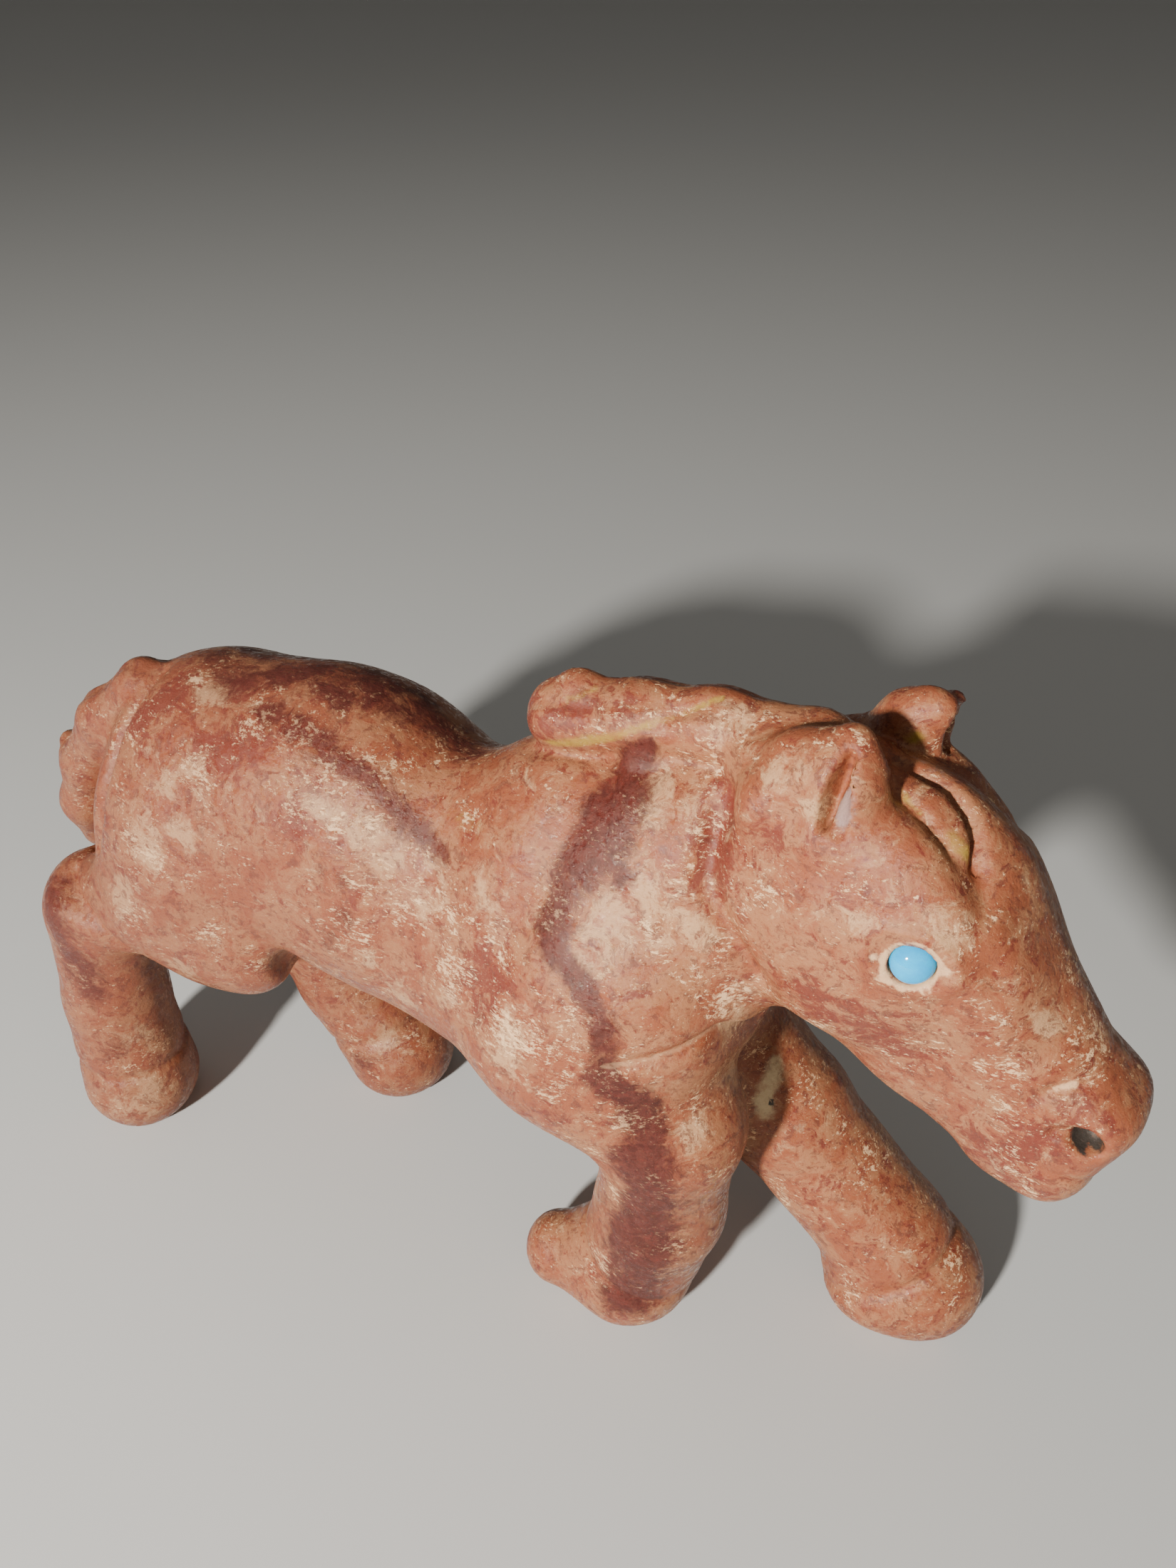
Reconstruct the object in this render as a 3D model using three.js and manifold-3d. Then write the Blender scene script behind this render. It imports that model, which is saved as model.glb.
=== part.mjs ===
// A small carved stone horse, striding with its head low, and the turquoise eyes set into it.
// Millimetres. +X runs toward the head, +Y to the horse's left, +Z up, and the soles stand on z = 0.
import * as THREE from "three";
import { mergeVertices } from "three/addons/utils/BufferGeometryUtils.js";
import Module from "manifold-3d";

const wasm = await Module();
wasm.setup();

// Driving dimensions of the carving.
const TRUNK_HALF_WIDTH = 7.8;
const RUMP_HALF_WIDTH = 8.0;
const CHEST_HALF_WIDTH = 8.6;
const NECK_FLATNESS = 0.78;
const HEAD_TURN = 0.14; // how far the head leans to the horse's right for each mm forward of the poll
const POLL_X = 20;
const CHEEK_OFFSET = 3.4;
const EAR_OFFSET = 3.3;
const RIGHT_EAR = { thickness: 3.0, width: 4.0 };
const LEFT_EAR = { thickness: 3.5, width: 3.1 };
const EAR_RINGS = 7;
const HIND_STANCE = 5.8; // from the middle plane to a hind hoof
const FORE_STANCE = 4.2;
const LEG_RADIUS = 3.6;
const HOOF_RADIUS = 4.2;
const MANE_RADIUS = 2.3;
const TAIL_RADIUS = 2.0;
const EYE_PLACE = { x: 25.1, offset: 5.5, z: 38.35 };
const EYE_RADII = [1.08, 0.8, 1.12]; // along the head, through the head, up
const SETTING_GAP = 0.3; // between a turquoise and its socket
const NOSTRIL_RADIUS = 0.55;
const CUTTER_DEPTH = 10; // of the block that is taken away below the soles

// How finely the surface is worked: a closer net over the head than over the trunk and the legs.
const COARSE_STEP = 1.9;
const FINE_STEP = 1.15;
const HEAD_STARTS_X = 12;
const BLOCK = { low: [-41, -13.6, -4.3], high: [41, 13.6, 50.5] };

const SHORTEST_WAY = 0.05; // to each side of a place when the steepest way out is felt for
const EVENING_ROUNDS = [0.35, 0.35, 0]; // how far each round moves a knot toward its neighbours

const COLOURS = { stone: 0xc4705a, turquoise: 0x4fc0e4 };

const RIGHT = -1;
const LEFT = 1;
const UNCUT = 50; // the distance value of a place that no form reaches
const PINCH_FILL = 0.05; // how deep inside the stone a filled grid corner is taken to be

// Points of the head are measured from its own middle plane, which turns a little to the right.
function headPoint(x, y, z) {
  return [x, y - HEAD_TURN * (x - POLL_X), z];
}

// A rounded mass that turns with the head.
function headMass(x, y, z, radii, shape = {}) {
  return mass(headPoint(x, y, z), radii, { ...shape, turn: -Math.atan(HEAD_TURN) });
}

// Smooth joining of two distances, negative inside the stone.
function join(a, b, blend) {
  const overlap = Math.max(blend - Math.abs(a - b), 0) / blend;
  return Math.min(a, b) - overlap * overlap * blend * 0.25;
}

// A rounded mass. Tilt lifts its +X end, turn swings it to the left, squareness above 2 makes it boxier.
function mass(centre, radii, { tilt = 0, turn = 0, squareness = 2 } = {}) {
  const turned = new THREE.Euler(0, -THREE.MathUtils.degToRad(tilt), turn, "ZYX");
  const axes = new THREE.Matrix4().makeRotationFromEuler(turned).elements;
  return (x, y, z) => {
    const away = [x - centre[0], y - centre[1], z - centre[2]];
    let sum = 0;
    let slope = 0;
    for (let i = 0; i < 3; i += 1) {
      const along = Math.abs(away[0] * axes[4 * i] + away[1] * axes[4 * i + 1] + away[2] * axes[4 * i + 2]);
      const share = along / radii[i];
      sum += share ** squareness;
      slope += (share ** (squareness - 1) / radii[i]) ** 2;
    }
    const size = Math.max(sum ** (1 / squareness), 1e-6);
    return (size - 1) / Math.max(Math.sqrt(slope) / size ** (squareness - 1), 1e-6);
  };
}

// Where along the segment a-b a place is nearest, from 0 to 1.
function nearestShare(offset, span) {
  const dot = offset.reduce((total, value, i) => total + value * span[i], 0);
  const length2 = span.reduce((total, value) => total + value * value, 0);
  return Math.min(Math.max(dot / length2, 0), 1);
}

// A limb: a chain of tapered round bars, made narrower sideways by its flatness.
function limb(points, radii, { flatness = 1, blend = 1 } = {}) {
  const widen = 1 / flatness;
  return (x, y, z) => {
    let distance = UNCUT;
    for (let i = 0; i + 1 < points.length; i += 1) {
      const [from, to] = [points[i], points[i + 1]];
      const span = [to[0] - from[0], (to[1] - from[1]) * widen, to[2] - from[2]];
      const offset = [x - from[0], (y - from[1]) * widen, z - from[2]];
      const share = nearestShare(offset, span);
      const away = Math.hypot(...offset.map((value, j) => value - share * span[j]));
      const radius = radii[i] + share * (radii[i + 1] - radii[i]);
      distance = join(distance, (away - radius) * Math.sqrt(flatness), blend);
    }
    return distance;
  };
}

// A groove drawn on one flank, given as [x, z] points seen from the side.
function flankGroove(points, side, width, depth) {
  return (x, y, z) => {
    let deepest = 0;
    for (let i = 0; i + 1 < points.length; i += 1) {
      const [from, to] = [points[i], points[i + 1]];
      const span = [to[0] - from[0], to[1] - from[1]];
      const offset = [x - from[0], z - from[1]];
      const share = nearestShare(offset, span);
      const away = Math.hypot(offset[0] - share * span[0], offset[1] - share * span[1]);
      deepest = Math.max(deepest, depth * Math.exp(-((away / width) ** 2)));
    }
    return deepest * Math.min(Math.max((side * y) / 2, 0), 1);
  };
}

// The stone block while it is being worked: each step adds to it, cuts it or scores it.
class Carving {
  steps = [];

  add(form, blend) {
    this.steps.push((distance, x, y, z) => join(distance, form(x, y, z), blend));
  }

  cut(form, blend) {
    this.steps.push((distance, x, y, z) => -join(-distance, form(x, y, z), blend));
  }

  score(groove) {
    this.steps.push((distance, x, y, z) => distance + groove(x, y, z));
  }

  distance(x, y, z) {
    return this.steps.reduce((distance, step) => step(distance, x, y, z), UNCUT);
  }
}

// Rump, barrel, chest and the thick arched neck.
function carveTrunk(stone) {
  stone.add(mass([-20, 0, 28.7], [8.7, RUMP_HALF_WIDTH, 10.2], { tilt: 12 }), 4);
  stone.add(mass([-8.5, 0, 28.5], [15, TRUNK_HALF_WIDTH, 9.9], { tilt: -12 }), 5);
  stone.add(mass([-10.5, 0, 33.0], [8, TRUNK_HALF_WIDTH - 1.2, 6.9], { tilt: -8 }), 3);
  stone.add(mass([0.5, 0, 24.3], [6.5, TRUNK_HALF_WIDTH - 1.2, 6.6]), 3);
  stone.add(mass([7.5, 0, 27.5], [9.6, CHEST_HALF_WIDTH, 9.7]), 5);
  const neck = [[7, 0, 33.0], [18, 0, 36.6]];
  stone.add(limb(neck, [8.3, 6.8], { flatness: NECK_FLATNESS }), 3.5);
}

// The right hind leg is pushed back, and the left one reaches forward under the belly.
function carveHindLegs(stone) {
  for (const side of [RIGHT, LEFT]) {
    stone.add(mass([-21, side * 4.6, 24.9], [6.6, 4.6, 8.6], { tilt: -10 * side }), 2.3);
  }
  stone.add(mass([-17.5, -5.5, 22.5], [4.6, 3.1, 4.9]), 0.9);
  const rightThigh = [[-23.5, -5.0, 23], [-29.4, -5.5, 20.0]];
  stone.add(limb(rightThigh, [4.0, LEG_RADIUS - 0.2]), 2);
  const rightShank = [[-29.9, -5.5, 20.0], [-30.8, -HIND_STANCE, 11.3], [-30.2, -HIND_STANCE - 0.3, 3.3]];
  stone.add(limb(rightShank, [LEG_RADIUS + 0.2, LEG_RADIUS, HOOF_RADIUS + 0.1]), 1.5);
  const groin = [[-12.3, -9, 24.6], [-12.2, -6, 21.4], [-12.2, -4, 19.6]];
  stone.cut(limb(groin, [0.5, 1.3, 1.8]), 0.7);
  const leftLeg = [[-22, 5, 20], [-18, 5.4, 9], [-14, HIND_STANCE - 0.2, 3]];
  stone.add(limb(leftLeg, [4.8, LEG_RADIUS + 0.2, HOOF_RADIUS + 0.1]), 2);
}

// The right foreleg is folded back at the hoof, and the left one strides far out in front.
function carveForelegs(stone) {
  for (const side of [RIGHT, LEFT]) {
    stone.add(mass([8.5, side * 5.2, 26], [6.6, 4.4, 8], { tilt: -30 }), 3);
  }
  const rightForearm = [[7, -5, 24], [13.2, -FORE_STANCE - 0.2, 19.3]];
  stone.add(limb(rightForearm, [5, LEG_RADIUS + 0.7]), 2);
  const rightShin = [[13.2, -FORE_STANCE, 19.3], [12.9, -FORE_STANCE, 11], [11.1, -3.8, 3.8]];
  stone.add(limb(rightShin, [LEG_RADIUS + 0.6, LEG_RADIUS + 0.3, HOOF_RADIUS - 0.1]), 1.5);
  const rightToe = [[10, -3.9, 2.9], [6.1, -FORE_STANCE - 0.4, 2.5]];
  stone.add(limb(rightToe, [3.5, 2.5]), 2);
  const leftLeg = [[11, 4.6, 20], [17.8, 4.6, 13.3], [25.5, 4.4, 5.5], [28.1, FORE_STANCE + 0.1, 2.8]];
  stone.add(limb(leftLeg, [5, LEG_RADIUS + 0.6, LEG_RADIUS + 0.5, HOOF_RADIUS + 0.1]), 2);
  stone.add(mass([26.2, 3.4, 2.6], [4.2, 4.0, 3.4]), 1);
}

// The mane is a raised roll along the crest, which ends in a lump above the withers.
function carveMane(stone) {
  const crest = [[4.6, 0, 42.0], [9, 0, 42.9], [13, 0, 43.7], [18, 0, 44.3], [20.5, 0, 44.0]];
  stone.add(limb(crest, [1, 0.93, 0.82, 0.65, 0.52].map((share) => share * MANE_RADIUS)), 0.8);
  stone.add(mass([5.3, 0, 44.2], [1.2, 1.0, 0.8]), 0.6);
}

// A heavy long head: broad cheeks and temples, a straight nose and a blunt muzzle.
function carveHead(stone) {
  stone.add(headMass(22.2, 0, 37.4, [7.2, 4.5, 7.2]), 0.7);
  for (const side of [RIGHT, LEFT]) {
    stone.add(headMass(21.1, side * CHEEK_OFFSET, 37.6, [6.7, 3.2, 6.7], { tilt: -15 }), 0.9);
  }
  const noseBridge = [headPoint(25.2, 0, 36.8), headPoint(31.6, 0, 30.2)];
  stone.add(limb(noseBridge, [4.9, 3.8]), 2);
  const jaw = [headPoint(21, 0, 33.0), headPoint(26, 0, 30.0), headPoint(30.4, 0, 26.9)];
  stone.add(limb(jaw, [4.4, 3.8, 3.2]), 2);
  stone.add(headMass(32.5, 0, 27.4, [3.3, 3.5, 4.1], { tilt: -14, squareness: 3 }), 1);
  stone.add(headMass(34.2, 0, 29.8, [2.4, 3.1, 2.2], { tilt: -30, squareness: 2.6 }), 0.8);
  for (const side of [RIGHT, LEFT]) {
    stone.add(headMass(25, side * (CHEEK_OFFSET - 0.2), 39.2, [2.8, 2.2, 2.2], { tilt: -35 }), 1.2);
    stone.add(headMass(27.6, side * (CHEEK_OFFSET - 1.1), 37.0, [4.4, 2.5, 2.4], { tilt: -58 }), 1.2);
  }
}

// The ridge that runs back from the right ear, and the lock of hair that falls between the ears.
function carveForelock(stone) {
  stone.add(limb([[15.2, -1, 43.4], [19.5, -1.2, 44]], [1.6, 1.6]), 0.6);
  const behindEar = [[20.0, -EAR_OFFSET + 0.1, 45.2], [18.4, -EAR_OFFSET, 44.5], [16.8, -EAR_OFFSET, 43.0]];
  stone.add(limb(behindEar.map((p) => headPoint(...p)), [1.6, 1.9, 2.2]), 1.5);
  const forelock = [[21.6, -1.5, 43.5], [23.4, -1.8, 42.9], [25.0, -2.3, 41.9], [26.2, -2.9, 40.8]];
  stone.add(limb(forelock, [1.2, 1.4, 1.25, 0.9]), 0.4);
}

// A short tail lies on the rump. Its edge juts out twice, where two locks end.
function carveTail(stone) {
  const behindRump = [[-26.3, -0.2, 31], [-29.6, -0.2, 22.8]];
  stone.add(limb(behindRump, [3.4, 3.0]), 1.5);
  const dock = [[-21.5, -0.6, 37.9], [-25.4, -1, 36.6], [-29.2, -1.2, 33.0]];
  const locks = [[-32.6, -1.2, 28.6], [-34.0, -1, 24.8], [-34.2, -0.8, 21.8]];
  const shares = [0.6, 0.9, 1, 0.9, 0.95, 0.65];
  stone.add(limb([...dock, ...locks], shares.map((share) => share * TAIL_RADIUS)), 0.45);
  stone.add(mass([-33.8, -1.1, 29.4], [1.3, 1.2, 0.8], { tilt: -40 }), 0.5);
  stone.add(mass([-35.1, -1, 24.6], [0.9, 1.0, 0.8]), 0.5);
}

// Grooves that part the cheek from the neck, the elbow from the chest and the thigh from the leg.
function scoreFlanks(stone) {
  const behindCheek = [[17.6, 45.6], [15.6, 44.2], [14.5, 41.5], [14.6, 38], [16.2, 35.3], [17.8, 33]];
  const elbow = [[11.4, 27.6], [15.8, 28.8], [17.9, 24.8]];
  const underThigh = [[-30, 23.2], [-26.5, 22], [-23, 18.8]];
  stone.score(flankGroove(behindCheek, RIGHT, 0.9, 0.5));
  stone.score(flankGroove(behindCheek, LEFT, 0.9, 0.5));
  stone.score(flankGroove(elbow, RIGHT, 0.8, 0.55));
  stone.score(flankGroove(underThigh, RIGHT, 0.9, 0.6));
}

// Grid planes from low to high, whose spacing follows the place.
function gridPlanes(low, high, spacing) {
  const planes = [low];
  while (planes.at(-1) < high) {
    planes.push(planes.at(-1) + spacing(planes.at(-1)));
  }
  return planes;
}

// The steepest way out of the stone at a place, and how fast the distance grows along it, squared.
function surfaceSlope(stone, x, y, z) {
  const step = SHORTEST_WAY;
  const slope = [
    stone.distance(x + step, y, z) - stone.distance(x - step, y, z),
    stone.distance(x, y + step, z) - stone.distance(x, y - step, z),
    stone.distance(x, y, z + step) - stone.distance(x, y, z - step),
  ].map((value) => value / (2 * step));
  return { slope, steepness2: Math.max(slope.reduce((total, value) => total + value * value, 0), 0.05) };
}

// Moves a point of the net onto the carved surface.
function settle(stone, point, longestMove) {
  const { slope, steepness2 } = surfaceSlope(stone, ...point);
  const needed = stone.distance(...point) / steepness2;
  const limit = longestMove / Math.sqrt(steepness2);
  const move = Math.min(Math.max(needed, -limit), limit);
  return point.map((value, i) => value - move * slope[i]);
}

// Fills the grid corners where the stone would touch itself along a mere edge.
function closePinches(distance, spot) {
  const steps = [spot(1, 0, 0), spot(0, 1, 0), spot(0, 0, 1)];
  let pinched = true;
  while (pinched) {
    pinched = false;
    for (let axis = 0; axis < 3; axis += 1) {
      const [first, second] = [steps[(axis + 1) % 3], steps[(axis + 2) % 3]];
      for (let start = 0; start + first + second < distance.length; start += 1) {
        const corners = [start, start + first, start + first + second, start + second];
        const inside = corners.map((corner) => distance[corner] < 0);
        if (inside[0] === inside[2] && inside[1] === inside[3] && inside[0] !== inside[1]) {
          const open = corners.filter((corner, n) => !inside[n]);
          open.sort((a, b) => distance[a] - distance[b]);
          distance[open[0]] = -PINCH_FILL;
          pinched = true;
        }
      }
    }
  }
}

// Covers the carving with a net of four-sided meshes, one knot in each grid cell that the surface crosses.
function coverWithNet(stone, planes) {
  const count = planes.map((list) => list.length);
  const spot = (i, j, k) => (i * count[1] + j) * count[2] + k;
  const distance = new Float64Array(count[0] * count[1] * count[2]);
  planes[0].forEach((x, i) => planes[1].forEach((y, j) => planes[2].forEach((z, k) => {
    distance[spot(i, j, k)] = stone.distance(x, y, z);
  })));
  closePinches(distance, spot);

  const knots = [];
  const knotOfCell = new Map();
  const quads = [];
  const steps = [[1, 0, 0], [0, 1, 0], [0, 0, 1]];
  const crossing = (cell, from, step) => {
    const a = distance[spot(...cell.map((c, n) => c + from[n]))];
    const b = distance[spot(...cell.map((c, n) => c + from[n] + step[n]))];
    if (a < 0 === b < 0) {
      return null;
    }
    const share = a / (a - b);
    return cell.map((c, n) => {
      const start = planes[n][c + from[n]];
      return start + share * (planes[n][c + from[n] + step[n]] - start);
    });
  };

  for (let i = 0; i + 1 < count[0]; i += 1) {
    for (let j = 0; j + 1 < count[1]; j += 1) {
      for (let k = 0; k + 1 < count[2]; k += 1) {
        const found = [];
        for (const [axis, step] of steps.entries()) {
          for (const u of [0, 1]) {
            for (const v of [0, 1]) {
              const from = [0, 0, 0];
              from[(axis + 1) % 3] = u;
              from[(axis + 2) % 3] = v;
              const point = crossing([i, j, k], from, step);
              if (point) {
                found.push(point);
              }
            }
          }
        }
        if (found.length) {
          knotOfCell.set(spot(i, j, k), knots.length);
          knots.push([0, 1, 2].map((n) => found.reduce((sum, p) => sum + p[n], 0) / found.length));
        }
      }
    }
  }

  for (let i = 1; i + 1 < count[0]; i += 1) {
    for (let j = 1; j + 1 < count[1]; j += 1) {
      for (let k = 1; k + 1 < count[2]; k += 1) {
        for (const [axis, step] of steps.entries()) {
          const startsInside = distance[spot(i, j, k)] < 0;
          if (startsInside === distance[spot(i + step[0], j + step[1], k + step[2])] < 0) {
            continue;
          }
          const [first, second] = [steps[(axis + 1) % 3], steps[(axis + 2) % 3]];
          const corner = (a, b) => knotOfCell.get(spot(
            i - a * first[0] - b * second[0],
            j - a * first[1] - b * second[1],
            k - a * first[2] - b * second[2],
          ));
          const quad = [corner(1, 1), corner(0, 1), corner(0, 0), corner(1, 0)];
          quads.push(startsInside ? quad : quad.reverse());
        }
      }
    }
  }
  return { knots, quads };
}

// Evens the net out along the surface: each knot moves part of the way to the middle of its neighbours.
function evenOut(knots, quads, share) {
  const sums = knots.map(() => [0, 0, 0, 0]);
  for (const quad of quads) {
    quad.forEach((knot, n) => {
      for (const other of [quad[(n + 1) % 4], quad[(n + 3) % 4]]) {
        knots[other].forEach((value, axis) => {
          sums[knot][axis] += value;
        });
        sums[knot][3] += 1;
      }
    });
  }
  return knots.map((knot, n) => knot.map((value, axis) => {
    const middle = sums[n][axis] / sums[n][3];
    return value + share * (middle - value);
  }));
}

// Two triangles for each mesh of the net, split along its shorter diagonal.
function triangles(knots, quads) {
  const apart = (a, b) => Math.hypot(...knots[a].map((value, axis) => value - knots[b][axis]));
  return quads.flatMap(([a, b, c, d]) => (
    apart(a, c) < apart(b, d) ? [a, b, c, a, c, d] : [a, b, d, b, c, d]
  ));
}

function asSolid(vertProperties, triVerts) {
  return new wasm.Manifold(new wasm.Mesh({ numProp: 3, vertProperties, triVerts }));
}

// A three.js geometry as a closed solid that can be cut or can cut.
function solidFrom(geometry) {
  const bare = geometry.clone();
  bare.deleteAttribute("normal");
  bare.deleteAttribute("uv");
  const merged = mergeVertices(bare);
  return asSolid(merged.attributes.position.array, Uint32Array.from(merged.index.array));
}

function geometryFrom(solid) {
  const mesh = solid.getMesh();
  const geometry = new THREE.BufferGeometry();
  geometry.setAttribute("position", new THREE.BufferAttribute(Float32Array.from(mesh.vertProperties), 3));
  geometry.setIndex(new THREE.BufferAttribute(Uint32Array.from(mesh.triVerts), 1));
  geometry.computeVertexNormals();
  return geometry;
}

// An egg-shaped cutter or stone, with its radii along, across and up before it is turned.
function egg(centre, radii, [lean, turn, tilt] = [0, 0, 0], rounds = 14) {
  const geometry = new THREE.SphereGeometry(1, rounds, rounds / 2);
  geometry.rotateX(Math.PI / 2);
  geometry.scale(...radii);
  geometry.rotateX(THREE.MathUtils.degToRad(lean));
  geometry.rotateY(-THREE.MathUtils.degToRad(tilt));
  geometry.rotateZ(THREE.MathUtils.degToRad(turn));
  geometry.translate(...centre);
  return geometry;
}

// Stands a shape that was made upright on its base, turned so that its +X side faces the given way.
function stand(geometry, base, tip, facing) {
  const up = new THREE.Vector3(...tip).sub(new THREE.Vector3(...base)).normalize();
  const across = new THREE.Vector3().crossVectors(up, new THREE.Vector3(...facing)).normalize();
  const front = new THREE.Vector3().crossVectors(across, up);
  geometry.applyMatrix4(new THREE.Matrix4().makeBasis(front, across, up).setPosition(...base));
  return geometry;
}

// An ear is a leaf, widest near its base, that comes to a blunt point.
function ear(place) {
  const profile = [];
  for (let n = 0; n <= EAR_RINGS; n += 1) {
    const height = n / EAR_RINGS;
    profile.push(new THREE.Vector2(Math.sin(Math.PI * height ** 0.8) ** 0.42, height));
  }
  profile[0].x = 0;
  profile[EAR_RINGS].x = 0;
  const leaf = new THREE.LatheGeometry(profile, 12);
  leaf.rotateX(Math.PI / 2);
  leaf.scale(place.size.thickness / 2, place.size.width / 2, place.length);
  return stand(leaf, place.base, place.tip, place.facing);
}

// The hollow in the front of an ear.
function earHollow(place) {
  const centre = [place.size.thickness * 0.52, 0, place.length * 0.6];
  const hollow = egg(centre, [0.8, 0.72, 1.5], [0, 0, 0], 12);
  return stand(hollow, place.base, place.tip, place.facing);
}

// Where an ear of a given size stands and which way its hollow looks.
function earPlace(size, base, tip, facing) {
  const [from, to] = [headPoint(...base), headPoint(...tip)];
  return { size, base: from, tip: to, facing, length: Math.hypot(...to.map((value, i) => value - from[i])) };
}

// Each eye looks out to its side and a little up.
function eyeStone(side, gap) {
  const centre = headPoint(EYE_PLACE.x, side * EYE_PLACE.offset, EYE_PLACE.z);
  return egg(centre, EYE_RADII.map((radius) => radius + gap), [side * 22, side * -8, -20]);
}

function carveHorse() {
  const stone = new Carving();
  carveTrunk(stone);
  carveHindLegs(stone);
  carveForelegs(stone);
  carveMane(stone);
  carveHead(stone);
  carveForelock(stone);
  carveTail(stone);
  scoreFlanks(stone);

  const spacings = [
    (x) => (x < HEAD_STARTS_X ? COARSE_STEP : FINE_STEP),
    () => (COARSE_STEP + FINE_STEP) / 2,
    (z) => (z < BLOCK.high[2] / 2 ? COARSE_STEP : FINE_STEP),
  ];
  const planes = spacings.map((spacing, axis) => gridPlanes(BLOCK.low[axis], BLOCK.high[axis], spacing));
  const net = coverWithNet(stone, planes);
  let { knots } = net;
  for (const share of EVENING_ROUNDS) {
    knots = evenOut(knots, net.quads, share).map((knot) => settle(stone, knot, FINE_STEP / 2));
  }
  let solid = asSolid(Float32Array.from(knots.flat()), Uint32Array.from(triangles(knots, net.quads)));

  const ears = [
    earPlace(RIGHT_EAR, [20.0, -EAR_OFFSET - 0.1, 40.6], [20.6, -EAR_OFFSET, 47.6], [0.35, -1, 0.2]),
    earPlace(LEFT_EAR, [20.9, EAR_OFFSET, 41.0], [22.9, EAR_OFFSET + 0.3, 47.0], [1, 0.35, 0]),
  ];
  for (const place of ears) {
    solid = solid.add(solidFrom(ear(place)));
  }

  const wide = BLOCK.high.map((value) => 2.2 * value);
  const ground = new THREE.BoxGeometry(wide[0], wide[1], CUTTER_DEPTH);
  ground.translate(0, 0, -CUTTER_DEPTH / 2);
  const hollows = [ground, eyeStone(RIGHT, SETTING_GAP), eyeStone(LEFT, SETTING_GAP), ...ears.map(earHollow)];
  for (const side of [RIGHT, LEFT]) {
    const radii = [NOSTRIL_RADIUS, NOSTRIL_RADIUS, NOSTRIL_RADIUS];
    hollows.push(egg(headPoint(34.3, side * 3.2, 29.6), radii, [0, 0, 0], 10));
  }
  for (const hollow of hollows) {
    solid = solid.subtract(solidFrom(hollow));
  }
  return geometryFrom(solid);
}

function piece(name, geometry, material) {
  const mesh = new THREE.Mesh(geometry, material);
  mesh.name = name;
  return mesh;
}

function polished(color, roughness) {
  return new THREE.MeshStandardMaterial({ color, roughness, metalness: 0 });
}

const stoneFinish = polished(COLOURS.stone, 0.22);
const turquoiseFinish = polished(COLOURS.turquoise, 0.15);

const figurine = new THREE.Group();
figurine.add(piece("horse", carveHorse(), stoneFinish));
figurine.add(piece("right_eye", eyeStone(RIGHT, 0), turquoiseFinish));
figurine.add(piece("left_eye", eyeStone(LEFT, 0), turquoiseFinish));

// The origin is under the middle of the whole carving, at the level of its soles.
const reach = new THREE.Box3().setFromObject(figurine);
const middle = reach.getCenter(new THREE.Vector3());
figurine.position.set(-middle.x, -middle.y, -reach.min.z);

export default figurine;
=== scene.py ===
# %% [markdown]
# # A carved stone horse with turquoise eyes
#
# The object is a palm-sized horse cut from one piece of soft, banded pink stone, ground smooth and
# polished to a shine. Two small turquoises are set in as eyes. Everything here is modelled by code:
# the stone is sculpted as a field of distances, turned into one mesh, and coloured by procedural
# nodes that follow the banding of the real stone.
#
# We start from the CAD frame. It gives us the size and place of every piece, so all the numbers
# below are tied to it.

# %% Load the frame
import math

import bpy
import numpy as np
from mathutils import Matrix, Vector


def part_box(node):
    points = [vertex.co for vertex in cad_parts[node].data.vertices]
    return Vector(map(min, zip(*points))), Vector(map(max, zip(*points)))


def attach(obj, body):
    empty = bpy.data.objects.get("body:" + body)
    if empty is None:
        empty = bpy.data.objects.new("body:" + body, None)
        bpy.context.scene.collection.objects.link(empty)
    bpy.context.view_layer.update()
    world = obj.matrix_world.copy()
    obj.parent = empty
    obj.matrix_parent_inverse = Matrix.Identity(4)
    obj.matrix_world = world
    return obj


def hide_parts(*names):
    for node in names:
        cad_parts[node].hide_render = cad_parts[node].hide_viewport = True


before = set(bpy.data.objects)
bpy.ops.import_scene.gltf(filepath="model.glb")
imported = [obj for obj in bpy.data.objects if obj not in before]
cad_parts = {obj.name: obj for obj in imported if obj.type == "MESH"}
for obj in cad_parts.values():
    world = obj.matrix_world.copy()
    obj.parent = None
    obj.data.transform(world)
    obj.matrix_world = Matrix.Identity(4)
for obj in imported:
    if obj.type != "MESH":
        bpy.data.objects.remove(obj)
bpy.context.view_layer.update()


def box_mm(node):
    """The lowest and highest corner of a CAD piece, in millimetres."""
    return np.array(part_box(node)) * 1000


horse_low, horse_high = box_mm("horse")
print("horse, mm:", (horse_high - horse_low).round(2))

# %% [markdown]
# ## Where things are
#
# A carver measures from the mid-line of the block and from the table it stands on, so the sculpting
# is done in millimetres on axes of its own: x toward the head, y to the horse's left, z up from the
# soles. The head turns a little to the right. `on_head` lets us give its points from the head's own
# mid-line, which is easier than working the turn out by hand each time. The eye of the CAD model
# tells us how far those axes lie from the frame's.

# %% The carver's axes
HEAD_TURN = 0.14
POLL_X = 20.0
HEAD_YAW = -math.degrees(math.atan(HEAD_TURN))
EYE_CENTRE = (25.1, 5.5, 38.35)


def on_head(x, y, z):
    return (x, y - HEAD_TURN * (x - POLL_X), z)


def eye_at(side):
    x, y, z = EYE_CENTRE
    return np.array(on_head(x, side * y, z))


shift = box_mm("right_eye").mean(0) - eye_at(-1)
print("carver's axes to the frame, mm:", shift.round(3))

# %% [markdown]
# ## The block of stone
#
# A sculpted body with this many soft joints would take long to box-model. Instead the block is a
# grid of numbers, each the distance to the carved surface and negative inside the stone. Adding a
# form keeps the smaller distance, and a smooth minimum leaves a fillet like the one a file leaves
# between two masses. The planes of the grid are closer together around the head, where the carving
# is finest.

# %% Grid of distances
UNCUT = 50.0


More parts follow.
